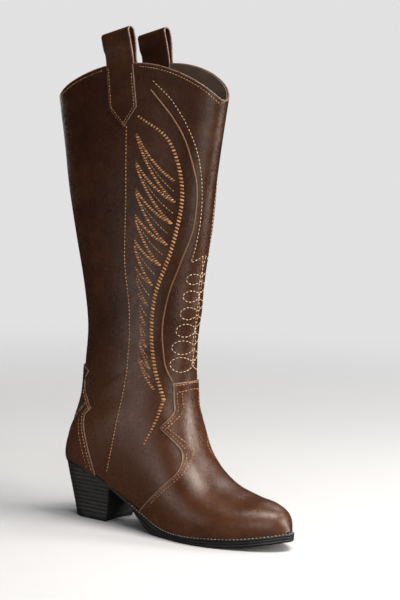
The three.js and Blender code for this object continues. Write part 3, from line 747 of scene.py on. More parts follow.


# The shaft leather carries the painted sheen that lightens it towards the bottom.
SHAFT = leather("shaft_leather", (0.028, 0.0092, 0.0040), (0.042, 0.0144, 0.0063),
                (0.074, 0.0272, 0.0126), (0.22, 0.14, 0.11), painted_low_sheen=0.85)
VAMP = leather("vamp_leather", (0.040, 0.0126, 0.0052), (0.060, 0.0200, 0.0082),
               (0.092, 0.0335, 0.0148), (0.25, 0.16, 0.125), gloss=0.27)
CORD = leather("piping_leather", (0.075, 0.030, 0.012), (0.125, 0.054, 0.022),
               (0.18, 0.085, 0.037), (0.18, 0.085, 0.037), gloss=0.42, coat=0.1)
LINING = lining_leather("lining_leather")
CREAM = thread("thread_cream", (0.26, 0.13, 0.055), (0.46, 0.29, 0.15), (0.72, 0.53, 0.34))
ORANGE = thread("thread_tan", (0.14, 0.040, 0.009), (0.38, 0.140, 0.036), (0.68, 0.36, 0.14))
GREY = thread("thread_grey", (0.11, 0.09, 0.07), (0.25, 0.215, 0.175), (0.47, 0.42, 0.36))
WELT = rubber("welt_rubber", (0.0055, 0.005, 0.0048), (0.016, 0.014, 0.013), 0.46)
SOLE = rubber("sole_rubber", (0.011, 0.0105, 0.0105), (0.032, 0.030, 0.028), 0.42)
STACK = stacked("heel_stack")
FIBRE = board("fibreboard", (0.24, 0.15, 0.085), (0.40, 0.27, 0.16), 500)
CORK = board("cork", (0.16, 0.09, 0.045), (0.36, 0.22, 0.12), 260)
STEEL = steel("steel")


# ---------- panels of the upper ----------

# Each layer lies between two distances from the upper's surface.
SKIN_LAYER, OVERLAY_LAYER, LINING_LAYER, STIFFENER_LAYER = (
    (-1.4, 0), (0.3, 1.7), (-2.8, -1.7), (-2.9, -1.7))
SKIN_CELL, VAMP_CELL, COUNTER_CELL, LINING_CELL, BOARD_CELL = 2.2, 1.9, 1.7, 3.5, 4
COLLAR_TURN = 0.5


def varied(layer, change):
    """A layer whose two faces are both moved by change(s, x, z)."""
    return [lambda s, x, z, depth=depth: depth + change(s, x, z) for depth in layer]


def lining_drop(s, x, z):
    """Room for the puff and the stiffener under the lining of the foot."""
    return -1.5 * smooth(3, 5.5, s) * (1 - smooth(12, 14, s))


def seam_lift(s, x, z):
    """The front panel rises over the edge of the back one beside the side seam."""
    return 1.5 * (1 - smooth(SEAM_LAP + 0.5, 15, ahead_of_seam(x, z)))


def lap_drop(s, x, z):
    """The back panel is skived where it runs under the front one."""
    return -0.1 * smooth(0, 2, ahead_of_seam(x, z))


def everywhere(x, z):
    return np.full(np.shape(x), 50.0)


def collar_lining(x, z):
    return below_collar(x, z) - COLLAR_TURN


panel("shaft_front", both(below_collar, ahead_of_seam, outside(ahead_of_lap)),
      varied(SKIN_LAYER, seam_lift), (4.6, LAST), SKIN_CELL, SHAFT, "shaft_leather", below_collar)
panel("shaft_back", both(below_collar, behind_lap), varied(SKIN_LAYER, lap_drop), (5, LAST),
      SKIN_CELL, SHAFT, "shaft_leather", below_collar)
panel("vamp", vamp_area, OVERLAY_LAYER, (0, 8.4), VAMP_CELL, VAMP, "vamp_leather", vamp_area)
panel("heel_counter", counter_area, OVERLAY_LAYER, (6.5, 13), COUNTER_CELL, SHAFT,
      "shaft_leather", counter_area)
panel("toe_puff", everywhere, SKIN_LAYER, (0, 3), BOARD_CELL, FIBRE, "fibreboard")
panel("heel_stiffener", stiffener_area, STIFFENER_LAYER, (6.7, 12), BOARD_CELL, FIBRE, "fibreboard")
for name, inside, span in (
        ("lining_front", both(collar_lining, ahead_of_seam, lining_behind), (4.6, LAST)),
        ("lining_back", both(collar_lining, outside(ahead_of_seam), lining_behind), (5, LAST)),
        ("vamp_lining", lining_ahead, (0, 8.4))):
    panel(name, inside, varied(LINING_LAYER, lining_drop), span, LINING_CELL, LINING,
          "lining_leather")


# ---------- the bottom ----------

FEATHER_S = np.linspace(0, HEEL, 1201)
FEATHER = edge_at(FEATHER_S)
FEATHER_RUN = np.concatenate([[0], np.cumsum(np.linalg.norm(np.diff(FEATHER, axis=0), axis=1))])


SOLE_SPACING = 2.2


def feather_z(x):
    return np.interp(x, FEATHER[::-1, 0], FEATHER[::-1, 2])


def plan_edge(s, side, out):
    """Feather points moved out in plan."""
    s = np.atleast_1d(np.asarray(s, float))
    p = edge_at(s)
    d = edge_at(np.minimum(s + 0.01, HEEL)) - edge_at(np.maximum(s - 0.01, 0))
    d = unit(d[:, :2])
    far = out(p[:, 0]) if callable(out) else np.full(len(s), float(out))
    x = p[:, 0] + far * d[:, 1]
    y = np.maximum(p[:, 1] - far * d[:, 0], 0)
    toe, heel = s < 1e-6, s > HEEL - 1e-6
    x[toe], y[toe] = p[toe, 0] + far[toe], 0
    x[heel], y[heel] = p[heel, 0] - far[heel], 0
    return x, side * y


def sole_loop(out):
    """Closed outline of the bottom, from the toe along the outer side and back."""
    run = np.linspace(0, FEATHER_RUN[-1], int(FEATHER_RUN[-1] / SOLE_SPACING) + 2)
    s = np.interp(run, FEATHER_RUN, FEATHER_S)
    x0, y0 = plan_edge(s, OUTER, out)
    x1, y1 = plan_edge(s, INNER, out)
    x = np.concatenate([x0, x1[-2:0:-1]])
    y = np.concatenate([y0, y1[-2:0:-1]])
    return x, y + swing(x)


def plate(name, rings, material, slot):
    """Closed plate of outlines (distance out, height) stacked from the bottom to the top."""
    loops = []
    for out, height in rings:
        x, y = sole_loop(out)
        loops.append(np.stack([x, y, height(x)], -1))
    count = len(loops[0])
    half = count // 2
    faces = grid_faces(len(rings), count, wrap_columns=True)
    for base, turn in ((0, 1), ((len(rings) - 1) * count, -1)):
        for k in range(half):
            cap = [k, k + 1, (count - k - 1) % count, (count - k) % count]
            cap = [base + c for n, c in enumerate(cap) if c not in cap[:n]]
            faces.append(cap[::turn])
    return add_solid(name, np.vstack(loops), faces, material, nodes=[name], slot=slot)


def rise(amount):
    return lambda x: feather_z(x) + amount


def sole_reach(extra=0.0):
    return lambda x: (1 + 0.2 * smooth(60, 90, x) + 2.2 * smooth(90, 150, x)) + extra


def sole_top(x):
    return feather_z(x) - 0.65 - 2.5 * smooth(84, 110, x)


def sole_bottom(x):
    drop = 3.4 + 8.6 * smooth(88, 122, x) - 3.3 * smooth(130, 160, x)
    return np.maximum(0, feather_z(x) - drop)


def sole_height(share, lift=0.0):
    return lambda x: sole_bottom(x) + share * (sole_top(x) - sole_bottom(x)) + lift


def groove(depth):
    """Outline pushed in by the groove round the edge of the forefoot."""
    return lambda x: sole_reach()(x) - depth * smooth(84, 112, x)


plate("outsole", [
    (sole_reach(-5), sole_height(0)), (sole_reach(-1.1), sole_height(0)),
    (sole_reach(-0.35), sole_height(0.05)), (sole_reach(0), sole_height(0.16)),
    (sole_reach(0), sole_height(0.40)), (groove(0.2), sole_height(0.46)),
    (groove(0.6), sole_height(0.50)), (groove(0.6), sole_height(0.56)),
    (groove(0.2), sole_height(0.60)), (sole_reach(0), sole_height(0.66)),
    (sole_reach(0), sole_height(0.88)), (sole_reach(-0.3), sole_height(0.97)),
    (sole_reach(-0.9), sole_height(1.0)), (sole_reach(-5), sole_height(1.0)),
], SOLE, "sole_rubber")
plate("sock_liner", [
    (-6.6, rise(2.9)), (-5.9, rise(3.0)), (-5.6, rise(3.4)), (-5.6, rise(3.8)),
    (-5.9, rise(4.1)), (-6.6, rise(4.15)), (-16, rise(3.9)),
], LINING, "lining_leather")

WELT_BACK = 94
WELT_REACH = 3.4
WELT_SPACING = 2.0
welt_last = np.interp(-WELT_BACK, -FEATHER[:, 0], FEATHER_S)


def welt_path():
    """Stations and sides along the welt, from the outer waist round the toe."""
    end = np.interp(welt_last, FEATHER_S, FEATHER_RUN)
    s = np.interp(np.linspace(0, end, int(end / WELT_SPACING) + 2), FEATHER_RUN, FEATHER_S)
    return np.concatenate([s[:0:-1], s]), np.concatenate([np.full(len(s) - 1, OUTER),
                                                          np.full(len(s), INNER)])


def welt_point(s, side, out, drop):
    """Points beside the feather line: moved out in plan and down from the welt's top."""
    x, y = np.zeros(len(s)), np.zeros(len(s))
    for which in (OUTER, INNER):
        on = side == which
        x[on], y[on] = plan_edge(s[on], which, out)
    z = feather_z(x) - 0.4 - drop * (0.2 + 2.5 * smooth(84, 110, x))
    return np.stack([x, y + swing(x), z], -1)


WELT_SECTION = [(-7, 0), (-1, 0), (1.3, 0.02), (WELT_REACH - 0.6, 0.34), (WELT_REACH - 0.15, 0.46),
                (WELT_REACH, 0.58), (WELT_REACH, 0.82), (WELT_REACH - 0.25, 0.96),
                (WELT_REACH - 0.9, 1.0), (-7, 1.0)]
welt_s, welt_side = welt_path()
rings = np.stack([welt_point(welt_s, welt_side, out, drop) for out, drop in WELT_SECTION], 1)
count = len(WELT_SECTION)
welt_faces = grid_faces(len(rings), count, wrap_columns=True)
welt_faces += [list(range(count)), [len(rings) * count - 1 - k for k in range(count)]]
add_solid("welt", rings.reshape(-1, 3), welt_faces, WELT, nodes=["welt"], slot="welt_rubber")


# ---------- the heel ----------

HEEL_HOLLOW = 2.5
UNCUT = 1000.0


def breast_at(z):
    return 62 + 0.12 * z


def half_width_at(z):
    return 20.5 + 5.5 * smooth(6, 58, z)


def heel_plan(z, inset=0.0, front=UNCUT):
    """Outline of the heel at height z, moved inwards and cut off ahead of a given x."""
    back = 14.5 - 15 * np.clip(z / 60, 0, 1)
    half = half_width_at(z)
    angle = np.linspace(math.pi / 2, 3 * math.pi / 2, 41)
    arc = np.stack([back + half + half * np.cos(angle), half * np.sin(angle)], -1)
    across = np.linspace(-1, 1, 13)
    face = np.stack([breast_at(z) - HEEL_HOLLOW * (1 - across ** 2), (half + 1) * across], -1)
    ahead = np.linspace(0, 1, 6)[1:-1, None]
    plan = np.vstack([arc, arc[-1] + ahead * (face[0] - arc[-1]), face,
                      face[-1] + ahead * (arc[0] - face[-1])])
    d = unit(np.roll(plan, -1, 0) - np.roll(plan, 1, 0))
    plan = plan - inset * np.stack([d[:, 1], -d[:, 0]], -1)
    front = front - inset
    widest = np.abs(plan[plan[:, 0] <= front, 1]).max()
    plan[plan[:, 0] > front, 1] = np.clip(plan[plan[:, 0] > front, 1], -widest, widest)
    plan[:, 0] = np.minimum(plan[:, 0], front)
    return plan


def heel_slice(name, low, high, material, slot, bevel, ceiling=None):
    """Slice of the heel with rounded edges, cut by a ceiling that follows the sole."""
    front = UNCUT
    if ceiling is not None:
        xs = np.linspace(0, 80, 801)
        room = ceiling(xs) - low > 0.5
        front = xs[room].max() if not room.all() else front
    points = []
    for height, inset in ((0, bevel + 3), (0, bevel), (0.3 * bevel, 0.3 * bevel), (bevel, 0),
                          (-bevel, 0), (-0.3 * bevel, 0.3 * bevel), (0, bevel), (0, bevel + 3)):
        top = len(points) >= 4
        z = high + height if top else low + height
        plan = heel_plan(z, inset, front)
        level = np.full(len(plan), float(z))
        if top and ceiling is not None:
            level = np.maximum(np.minimum(level, ceiling(plan[:, 0]) + height), low + bevel)
        points.append(np.column_stack([plan, level]))
    count = len(points[0])
    faces = grid_faces(len(points), count, wrap_columns=True)
    centre = len(points) * count
    middle = [points[0].mean(0), points[-1].mean(0)]
    for k in range(count):
        faces.append([centre, (k + 1) % count, k])
        last = (len(points) - 1) * count
        faces.append([centre + 1, last + k, last + (k + 1) % count])
    return add_solid(name, np.vstack(points + [np.array(middle)]), faces, material, nodes=[name],
                     slot=slot)


LIFT_COUNT, LIFT_PITCH, TOP_LIFT, LIFT_GAP = 13, 3.9, 6, 0.3
SOLE_CLEAR = 0.05


def heel_ceiling(x):
    return sole_bottom(x) - SOLE_CLEAR


heel_slice("heel_top_lift", 0, TOP_LIFT + 0.2, SOLE, "sole_rubber", 0.5)
for k in range(LIFT_COUNT):
    low = TOP_LIFT + LIFT_GAP + k * LIFT_PITCH
    heel_slice(f"heel_lift_{k + 1:02d}", low - 0.1, low + LIFT_PITCH - LIFT_GAP + 0.1, STACK,
               "heel_stack", 0.75, heel_ceiling)

across = np.linspace(-1, 1, 17)
levels = np.linspace(TOP_LIFT + 0.1, 44, 24)
cover = []
for z in levels:
    x = breast_at(z) - HEEL_HOLLOW * (1 - across ** 2) + 0.1
    top = np.minimum(z, heel_ceiling(x))
    cover.append(np.stack([x, (half_width_at(z) + 0.8) * across, top], -1))
cover = np.array(cover).reshape(-1, 3)
cover_out = np.tile([1.0, 0, 0], (len(cover), 1))
points, faces, normals, _ = close_sheet(
    cover, cover_out, cover_out, grid_faces(len(levels), len(across)), 0, 0.9, 0.4)
add_piece("heel_breast_cover", points, faces, SOLE, slot="heel_stack", normals=normals)


# ---------- pull straps ----------

LOOP_WIDTH, LOOP_HEIGHT, HINGE_Z, LOOP_X = 33, 27, 450.5, 67.5
LOOP_GAP = (2.5, 4.1)
LOOP_LEAN = np.radians([10, 17])
STRAP_HALF = 0.75
STRAP_ROOT = (19.85, 0.51)
TAIL_OUT, TAIL_IN = 1.15, -3.85


def spine(h):
    """Sideways place, height and lean of the loop's middle line, h above the hinge."""
    t = np.linspace(0, 1, 13)[:-1] + 1 / 24
    lean = LOOP_LEAN[0] + (LOOP_LEAN[1] - LOOP_LEAN[0]) * t * h / LOOP_HEIGHT
    return (-np.sin(lean).mean() * h, np.cos(lean).mean() * h,
            LOOP_LEAN[0] + (LOOP_LEAN[1] - LOOP_LEAN[0]) * h / LOOP_HEIGHT)


def loop_row(y, h, side, wall):
    """Points across the strap on the loop, from its back edge to its front edge."""
    x, z, lean = spine(h)
    w = LOOP_WIDTH * (ACROSS - 0.5)
    rise_across = w * math.sin(lean) * float(smooth(0, 12, h))
    return np.stack([LOOP_X + x + w * math.cos(lean), np.full(len(w), side * (wall + y)),
                     HINGE_Z + z + np.maximum(rise_across, -max(z, 0) - 3)], -1)


ACROSS = np.linspace(0, 1, 15)
OUTSIDE_LEFT = np.array([[57, 403], [48.5, 470]])
OUTSIDE_RIGHT = np.array([[89, 406.5], [80.5, 470]])
OUTSIDE_TIP = np.array([75, 386.5])
INSIDE_LEFT = np.array([[55, 415], [48.5, 470]])
INSIDE_RIGHT = np.array([[87.5, 417], [80.5, 470]])
TAIL_TOP, TAIL_STEP = 446, 2.0


def tail_rows(left, right, tip):
    """Rows of side-view points across a tail, from its end up to the collar."""
    rows = []
    if tip is not None:
        for t in np.linspace(0, 1, 9)[:-1]:
            t = max(t, 0.03)
            a, b = tip + t * (left[0] - tip), tip + t * (right[0] - tip)
            rows.append(a + ACROSS[:, None] * (b - a))
    share = (TAIL_TOP - left[0, 1]) / (left[1, 1] - left[0, 1])
    for t in np.linspace(0, share, int((TAIL_TOP - left[0, 1]) / TAIL_STEP) + 1):
        a, b = left[0] + t * (left[1] - left[0]), right[0] + t * (right[1] - right[0])
        rows.append(a + ACROSS[:, None] * (b - a))
    return np.array(rows)


def on_skin(rows, side, offset):
    sv = locate(rows.reshape(-1, 2))
    p = skin(sv[:, 0], sv[:, 1], side, offset)
    return p.reshape(*rows.shape[:2], 3)


def strap_middle(side, wall):
    """Middle surface of a whole pull strap, as a grid of rows across it."""
    outside_tail = on_skin(tail_rows(OUTSIDE_LEFT, OUTSIDE_RIGHT, OUTSIDE_TIP), side, TAIL_OUT)
    inside_tail = on_skin(tail_rows(INSIDE_LEFT, INSIDE_RIGHT, None), side, TAIL_IN)
    low, high = LOOP_GAP
    straight = LOOP_HEIGHT - high
    legs = np.linspace(-3.5, straight, 16)
    arch = np.linspace(0, math.pi, 15)[1:-1]

    def gap(h):
        return low + (high - low) * float(smooth(0, 0.7 * straight, h))

    loop = [loop_row(gap(h), h, side, wall) for h in legs]
    loop += [loop_row(high * math.cos(a), straight + high * math.sin(a), side, wall) for a in arch]
    loop += [loop_row(-gap(h), h, side, wall) for h in legs[::-1]]
    return np.concatenate([outside_tail[:-1], np.array(loop), inside_tail[:-1][::-1]])


def grid_normals(grid):
    return unit(np.cross(np.gradient(grid, axis=1), np.gradient(grid, axis=0)))


HINGE = {OUTER: "outer_loop", INNER: "inner_loop"}
SIDE_NAME = {OUTER: "outer", INNER: "inner"}
for side in (OUTER, INNER):
    word = SIDE_NAME[side]
    wall = abs(skin(*STRAP_ROOT, side, SKIN_LAYER[0])[1])
    grid = strap_middle(side, wall)
    out = grid_normals(grid)
    if out[12, 7, 1] * side < 0:
        out = -out
    rows, columns = grid.shape[:2]
    hinge = np.array([LOOP_X, side * wall, HINGE_Z])
    hinge_blend = ("boot", HINGE[side], tuple(row_frame(hinge - (0, 0, 4))),
                   tuple(row_frame(hinge + (0, 0, 6))))
    margin = np.minimum(ACROSS, 1 - ACROSS)[None] * LOOP_WIDTH
    points, faces, normals, owner = close_sheet(
        grid.reshape(-1, 3), out.reshape(-1, 3), out.reshape(-1, 3), grid_faces(rows, columns),
        -STRAP_HALF, STRAP_HALF, 0.55)
    margin = np.broadcast_to(margin, (rows, columns)).ravel()[owner]
    add_piece(f"pull_strap_{word}", points, faces, SHAFT, slot="shaft_leather", normals=normals,
              nodes=[f"strap_tail_{word}_outside", f"pull_loop_{word}", f"strap_tail_{word}_inside"],
              fields={"margin": margin}, blend=hinge_blend)


# ---------- thread work ----------

def scatter(index, salt=0.0):
    """Repeatable value between 0 and 1 for each index."""
    x = np.sin((np.asarray(index, float) + salt) * 12.9898) * 43758.5453
    return x - np.floor(x)


class Line:
    """Dense line on the upper: where it runs, its normals and its length so far."""

    def __init__(self, sv, side, offset):
        u = sv[:, 1]
        self.side = side * np.where(u < 0, -1, 1)
        self.s, self.v = sv[:, 0], np.abs(u)
        self.points = skin(self.s, self.v, self.side, offset)
        self.normals = skin_normals(self.s, self.v, self.side)
        self.measure()

    def measure(self):
        steps = np.linalg.norm(np.diff(self.points, axis=0), axis=1)
        self.run = np.concatenate([[0], np.cumsum(steps)])

    @classmethod
    def through(cls, points, normals):
        line = cls.__new__(cls)
        line.points, line.normals = np.asarray(points, float), np.asarray(normals, float)
        line.measure()
        return line

    def at(self, run):
        return tuple(np.stack([np.interp(run, self.run, a[:, k]) for k in range(3)], -1)
                     for a in (self.points, self.normals))

    def frame(self, run):
        """Points, unit directions and normals at distances along the line."""
        p, n = self.at(run)
        ahead, behind = self.at(np.minimum(run + 0.6, self.run[-1])), self.at(np.maximum(run - 0.6, 0))
        t = unit(ahead[0] - behind[0])
        n = unit(n)
        return p, unit(t - n * (t * n).sum(-1, keepdims=True)), n


def beside(points, distance):
    """Line beside another one, on its right for a positive distance."""
    d = unit(np.gradient(np.asarray(points, float), axis=0))
    return points + distance * np.stack([d[:, 1], -d[:, 0]], -1)


def on_upper(points):
    """The stretch of a side-view line that lies on the upper, as stations and shares."""
    sv = locate(points)
    gap = np.linalg.norm(upper(sv[:, 0], sv[:, 1], OUTER)[:, ::2] - points, axis=1)
    return sv[gap < 0.3]


def in_side_view(points):
    return locate(smooth_line(points, 10))


def near_ridge(pairs, per=10):
    return smooth_line(at_heights(pairs), per)


RING = np.arange(6) * math.pi / 3
BEADS = [(-1.0, 0.0, -0.9), (-0.72, 0.82, -0.15), (0.0, 1.0, 0.12), (0.72, 0.82, -0.15),
         (1.0, 0.0, -0.9)]


class Stitches:
    """Collects short lengths of thread and makes them one piece."""

    def __init__(self):
        self.points, self.faces, self.tones, self.count = [], [], [], 0

    def add(self, centre, direction, normal, half, radius, tone, flat=0.8):
        """Stitches with rounded ends that dip into the leather."""
        n = len(centre)
        if n == 0:
            return
        half = np.broadcast_to(half, n)[:, None]
        over = np.cross(normal, direction)
        layers = []
        for along, girth, sink in BEADS:
            spine_point = centre + direction * half * along + normal * radius * sink
            if girth == 0:
                layers.append(spine_point[:, None])
                continue
            ring = (over[:, None] * np.cos(RING)[None, :, None]
                    + normal[:, None] * (flat * np.sin(RING))[None, :, None]) * radius * girth
            layers.append(spine_point[:, None] + ring)
        block = np.concatenate(layers, 1)
        size = block.shape[1]
        self.points.append(block.reshape(-1, 3))
        self.tones.append(np.repeat(np.broadcast_to(tone, n), size))
        pattern = []
        for k in range(6):
            m = (k + 1) % 6
            pattern.append((0, 1 + m, 1 + k))
            for ring_start in (1, 7):
                pattern.append((ring_start + k, ring_start + m, ring_start + 6 + m, ring_start + 6 + k))
            pattern.append((13 + k, 13 + m, size - 1))
        for stitch in range(n):
            base = self.count + stitch * size
            self.faces.extend([base + c for c in face] for face in pattern)
        self.count += n * size

    def row(self, line, length=2.7, pitch=3.6, radius=0.42, tone=(0.35, 0.95), start=0.6, salt=0.0):
        """Running stitch along a line."""
        middle = np.arange(start + length / 2, line.run[-1] - length / 2, pitch)
        p, t, n = line.frame(middle)
        shade = tone[0] + (tone[1] - tone[0]) * scatter(np.arange(len(middle)), salt)
        self.add(p + n * radius * 0.35, t, n, length / 2, radius, shade)

    def bars(self, line, width, pitch, radius, slant=0.25, tone=(0.3, 1.0), salt=0.0):
        """Satin-stitched bars across a line; width may change along it."""
        middle = np.arange(pitch / 2, line.run[-1], pitch)
        p, t, n = line.frame(middle)
        over = unit(np.cross(n, t) + t * slant)
        wide = width(middle / line.run[-1]) if callable(width) else np.full(len(middle), width)
        every = np.arange(len(middle))
        shade = tone[0] + (tone[1] - tone[0]) * (0.6 * scatter(every, salt) + 0.4 * (every % 2))
        for shift, dim in ((-0.5, 0.8), (0.5, 1.0)):
            self.add(p + n * radius * 0.3 + t * shift * radius * 1.1, over, n, wide / 2, radius,
                     shade * dim, 0.75)

    def piece(self, name, material, **more):
        return add_piece(name, np.concatenate(self.points), self.faces, material, slot="thread",
                         fields={"tone": np.concatenate(self.tones)}, **more)


# A thick bar line runs down the shaft in an S and turns back at its foot. Flames of one
# shape stand on its back, evenly rooted, each with less rise than the one above it.
BAR_LINE = [[90, 398], [126, 376], [140, 330], [132, 275], [116, 225], [116, 170], [130, 130]]
BAR_TAIL = [[130, 130], [125, 108], [116, 86]]
FLAME_COUNT, FLAME_TOP, FLAME_PITCH = 10, 338, 20
FLAME_GAP, FLAME_CLEAR = 6, 9
FLAME_RISE, FLAME_TAPER, FLAME_LEAST = 40, 0.8, 8
HEAVY_FLAMES = 5
# Running stitch beside the ridge: in side view at first, then a bowed line whose share
# depends on the height, and a short run across to the ridge.
INLAY_LINE = [[106, 432], [126, 416], [140, 398]]
INLAY_BOW, INLAY_NEAR, INLAY_SPREAD = 305, 0.08, 0.118
INLAY_TOP, INLAY_FOOT = 384, 262
# Leaves on the front, evenly spaced and growing downwards.
LEAF_COUNT, LEAF_TOP, LEAF_PITCH = 6, 246, 16.5
PIPING_LINE = [[105, 423], [127, 401], [141, 380], [149, 354], [152, 330], [149, 293], [139, 259],
               [130, 231], [125, 197], [127, 167], [135, 147.5]]
SKIN_TOP, OVERLAY_TOP, FRONT_SEAM_TOP = 0.0, 1.7, 1.5
COLLAR_INSET, SEAM_INSET, STRAP_INSET, STRAP_ROW_TOP = 3.2, 1.2, 2.2, 441
VAMP_INSETS, COUNTER_INSET, COUNTER_SECOND = (2.0, 4.4), 2.8, 8
PIPE_RINGS, PIPE_SIDES, PIPE_RADIUS = 150, 10, 0.8


def x_on(line, z):
    """Where a side-view line that runs downwards crosses height z."""
    return np.interp(-z, -line[:, 1], line[:, 0])


def flame(k):
    """Upper run, lower run and vein of flame k, each from near the tip to the root."""
    bar_line = smooth_line(BAR_LINE)
    high = FLAME_TOP - k * FLAME_PITCH
    tip_z = high + FLAME_RISE * FLAME_TAPER ** k + FLAME_LEAST
    tip = np.array([x_on(SIDE_SEAM, tip_z) + FLAME_CLEAR, tip_z])
    t = np.linspace(0, 1, 7)[:, None]
    runs = []
    for z in (high, high - FLAME_PITCH):
        root = np.array([x_on(bar_line, z) - FLAME_GAP, z])
        bend = tip + (root - tip) * (0.36, 0.62)
        runs.append((1 - t) ** 2 * tip + 2 * t * (1 - t) * bend + t ** 2 * root)
    vein = 0.5 * (runs[0] + runs[1])[2:]
    return runs[0], runs[1], vein


def leaf(k):
    """Upper and lower run of leaf k, from its tip to its root on the ridge."""
    middle, half, share = LEAF_TOP - k * LEAF_PITCH, 5 + 0.4 * k, 0.135 + 0.012 * k
    t = np.linspace(0, 1, 25)
    bulge = half * np.sin(math.pi * t ** 0.72) ** 0.75
    u = share * (1 - t) - 0.018 * t
    return [at_heights(np.stack([middle + way * bulge, u], -1)) for way in (1, -1)]


def inlay_share(z):
    return INLAY_NEAR + INLAY_SPREAD * ((z - INLAY_BOW) / (INLAY_TOP - INLAY_BOW)) ** 2


for side in (OUTER, INNER):
    word = SIDE_NAME[side]
    work = Stitches()

    def on_front(sv, offset=SKIN_TOP):
        return Line(sv, side, offset)

    bar = on_front(in_side_view(BAR_LINE))
    work.bars(bar, lambda t: 2.6 + 2.0 * smooth(0, 0.25, t), 3.4, 0.58, tone=(0.4, 1.0), salt=1)
    work.bars(on_front(in_side_view(BAR_TAIL)), lambda t: 3.8 - 1.6 * smooth(0.2, 1, t), 3.2, 0.54,
              slant=-0.3, tone=(0.2, 0.8), salt=2)
    for k in range(FLAME_COUNT):
        heavy = k < HEAVY_FLAMES
        *runs, vein = flame(k)
        for n, run in enumerate(runs):
            work.bars(on_front(in_side_view(run)), 3.5 if heavy else 3.0, 2.7,
                      0.5 if heavy else 0.46, slant=0.55,
                      tone=(0.1, 1.1) if heavy else (0.0, 0.75), salt=k * 3 + n)
        work.row(on_front(in_side_view(vein)), length=2.6, pitch=3.5, radius=0.3,
                 tone=(0.5, 0.85), salt=k)
    work.piece(f"flame_embroidery_{word}", ORANGE)

    work = Stitches()
    heights = np.linspace(INLAY_TOP, INLAY_FOOT, 12)
    inlay = near_ridge(np.stack([heights, inlay_share(heights)], -1))
    work.row(on_front(np.vstack([in_side_view(INLAY_LINE), inlay])), length=2.5, pitch=3.7,
             radius=0.38, tone=(0.45, 1.0))
    crossing = [[INLAY_FOOT + 7 * w, inlay_share(INLAY_FOOT) * (1 - w)] for w in (0, 0.4, 0.7, 1)]
    work.row(on_front(near_ridge(crossing)), length=2.6, pitch=3.8, radius=0.42, tone=(0.3, 0.9))
    for k in range(LEAF_COUNT):
        for run in leaf(k):
            work.row(on_front(run), length=2.9, pitch=3.9, radius=0.4, tone=(0.45, 1.0), salt=k)
    z = np.linspace(268, 156, 120)
    twist = near_ridge(np.stack([z[::4], 0.014 * np.cos((z[::4] - 268) / 8.7)], -1), 4)
    work.row(on_front(twist), length=3.0, pitch=3.7, radius=0.4, tone=(0.15, 0.75), salt=9)
    work.piece(f"front_stitching_{word}", CREAM)

    line = on_front(in_side_view(PIPING_LINE), 0.7)
    p, t, n = line.frame(np.linspace(0, line.run[-1], PIPE_RINGS))
    over = np.cross(n, t)
    circle = np.arange(PIPE_SIDES) * 2 * math.pi / PIPE_SIDES
    tube = (p[:, None] + (over[:, None] * np.cos(circle)[None, :, None]
                          + n[:, None] * np.sin(circle)[None, :, None]) * PIPE_RADIUS)
    faces = grid_faces(PIPE_RINGS, PIPE_SIDES, wrap_columns=True)
    faces += [list(range(PIPE_SIDES)),
              [PIPE_RINGS * PIPE_SIDES - 1 - k for k in range(PIPE_SIDES)]]
    add_solid(f"piping_{word}", tube.reshape(-1, 3), faces, CORD, nodes=[f"piping_{word}"],
              slot="piping")

    work = Stitches()
    seam = SIDE_SEAM[(SIDE_SEAM[:, 1] < 392) & (SIDE_SEAM[:, 1] > 47)] + (SEAM_INSET, 0)
    work.row(Line(locate(seam), side, FRONT_SEAM_TOP), length=2.3, pitch=3.5, radius=0.44,
             tone=(0.55, 1.0), salt=4)
    collar = beside(COLLAR_LINE, COLLAR_INSET)
    for part in (collar[collar[:, 0] < 49.5], collar[collar[:, 0] > 86.5]):
        work.row(Line(on_upper(part), side, SKIN_TOP), length=2.2, pitch=3.1, radius=0.34,
                 tone=(0.35, 0.9), salt=5)
    work.piece(f"seam_stitching_{word}", ORANGE)

    work = Stitches()
    for edge, salt in ((TONGUE_SIDE[TONGUE_SIDE[:, 1] < 138], 1), (VAMP_WING[:-8], 2)):
        work.row(Line(on_upper(beside(edge, -VAMP_INSETS[0])), side, OVERLAY_TOP), length=2.3, pitch=3.2,
                 radius=0.34, tone=(0.1, 0.75), salt=salt)
        work.row(Line(on_upper(beside(edge, -VAMP_INSETS[1])), side, OVERLAY_TOP), length=2.5, pitch=3.4,
                 radius=0.4, tone=(0.15, 0.8), salt=salt + 2)
    for height, share in ((143.8, 0.165), (137.5, 0.145)):
        top = at_heights([(height + 2.2 * (1 - u / share), u)
                          for u in np.linspace(share, 0, 24)])
        work.row(Line(top, side, OVERLAY_TOP), length=2.6, pitch=3.5, radius=0.38,
                 tone=(0.3, 0.95), salt=4)
    work.piece(f"vamp_stitching_{word}", ORANGE)

    work = Stitches()
    low, high = COUNTER_LOW[COUNTER_LOW[:, 1] > 50], COUNTER_HIGH[COUNTER_HIGH[:, 1] < 128]
    for edge, distance, tone in ((low, COUNTER_INSET, (0.4, 0.95)), (high, COUNTER_INSET, (0.4, 0.95)),
                                 (low[low[:, 1] < 100], COUNTER_SECOND, (0.1, 0.6))):
        work.row(Line(on_upper(beside(edge, -distance)), side, OVERLAY_TOP), length=2.4,
                 pitch=3.3, radius=0.38, tone=tone, salt=6)
    work.piece(f"counter_stitching_{word}", ORANGE)

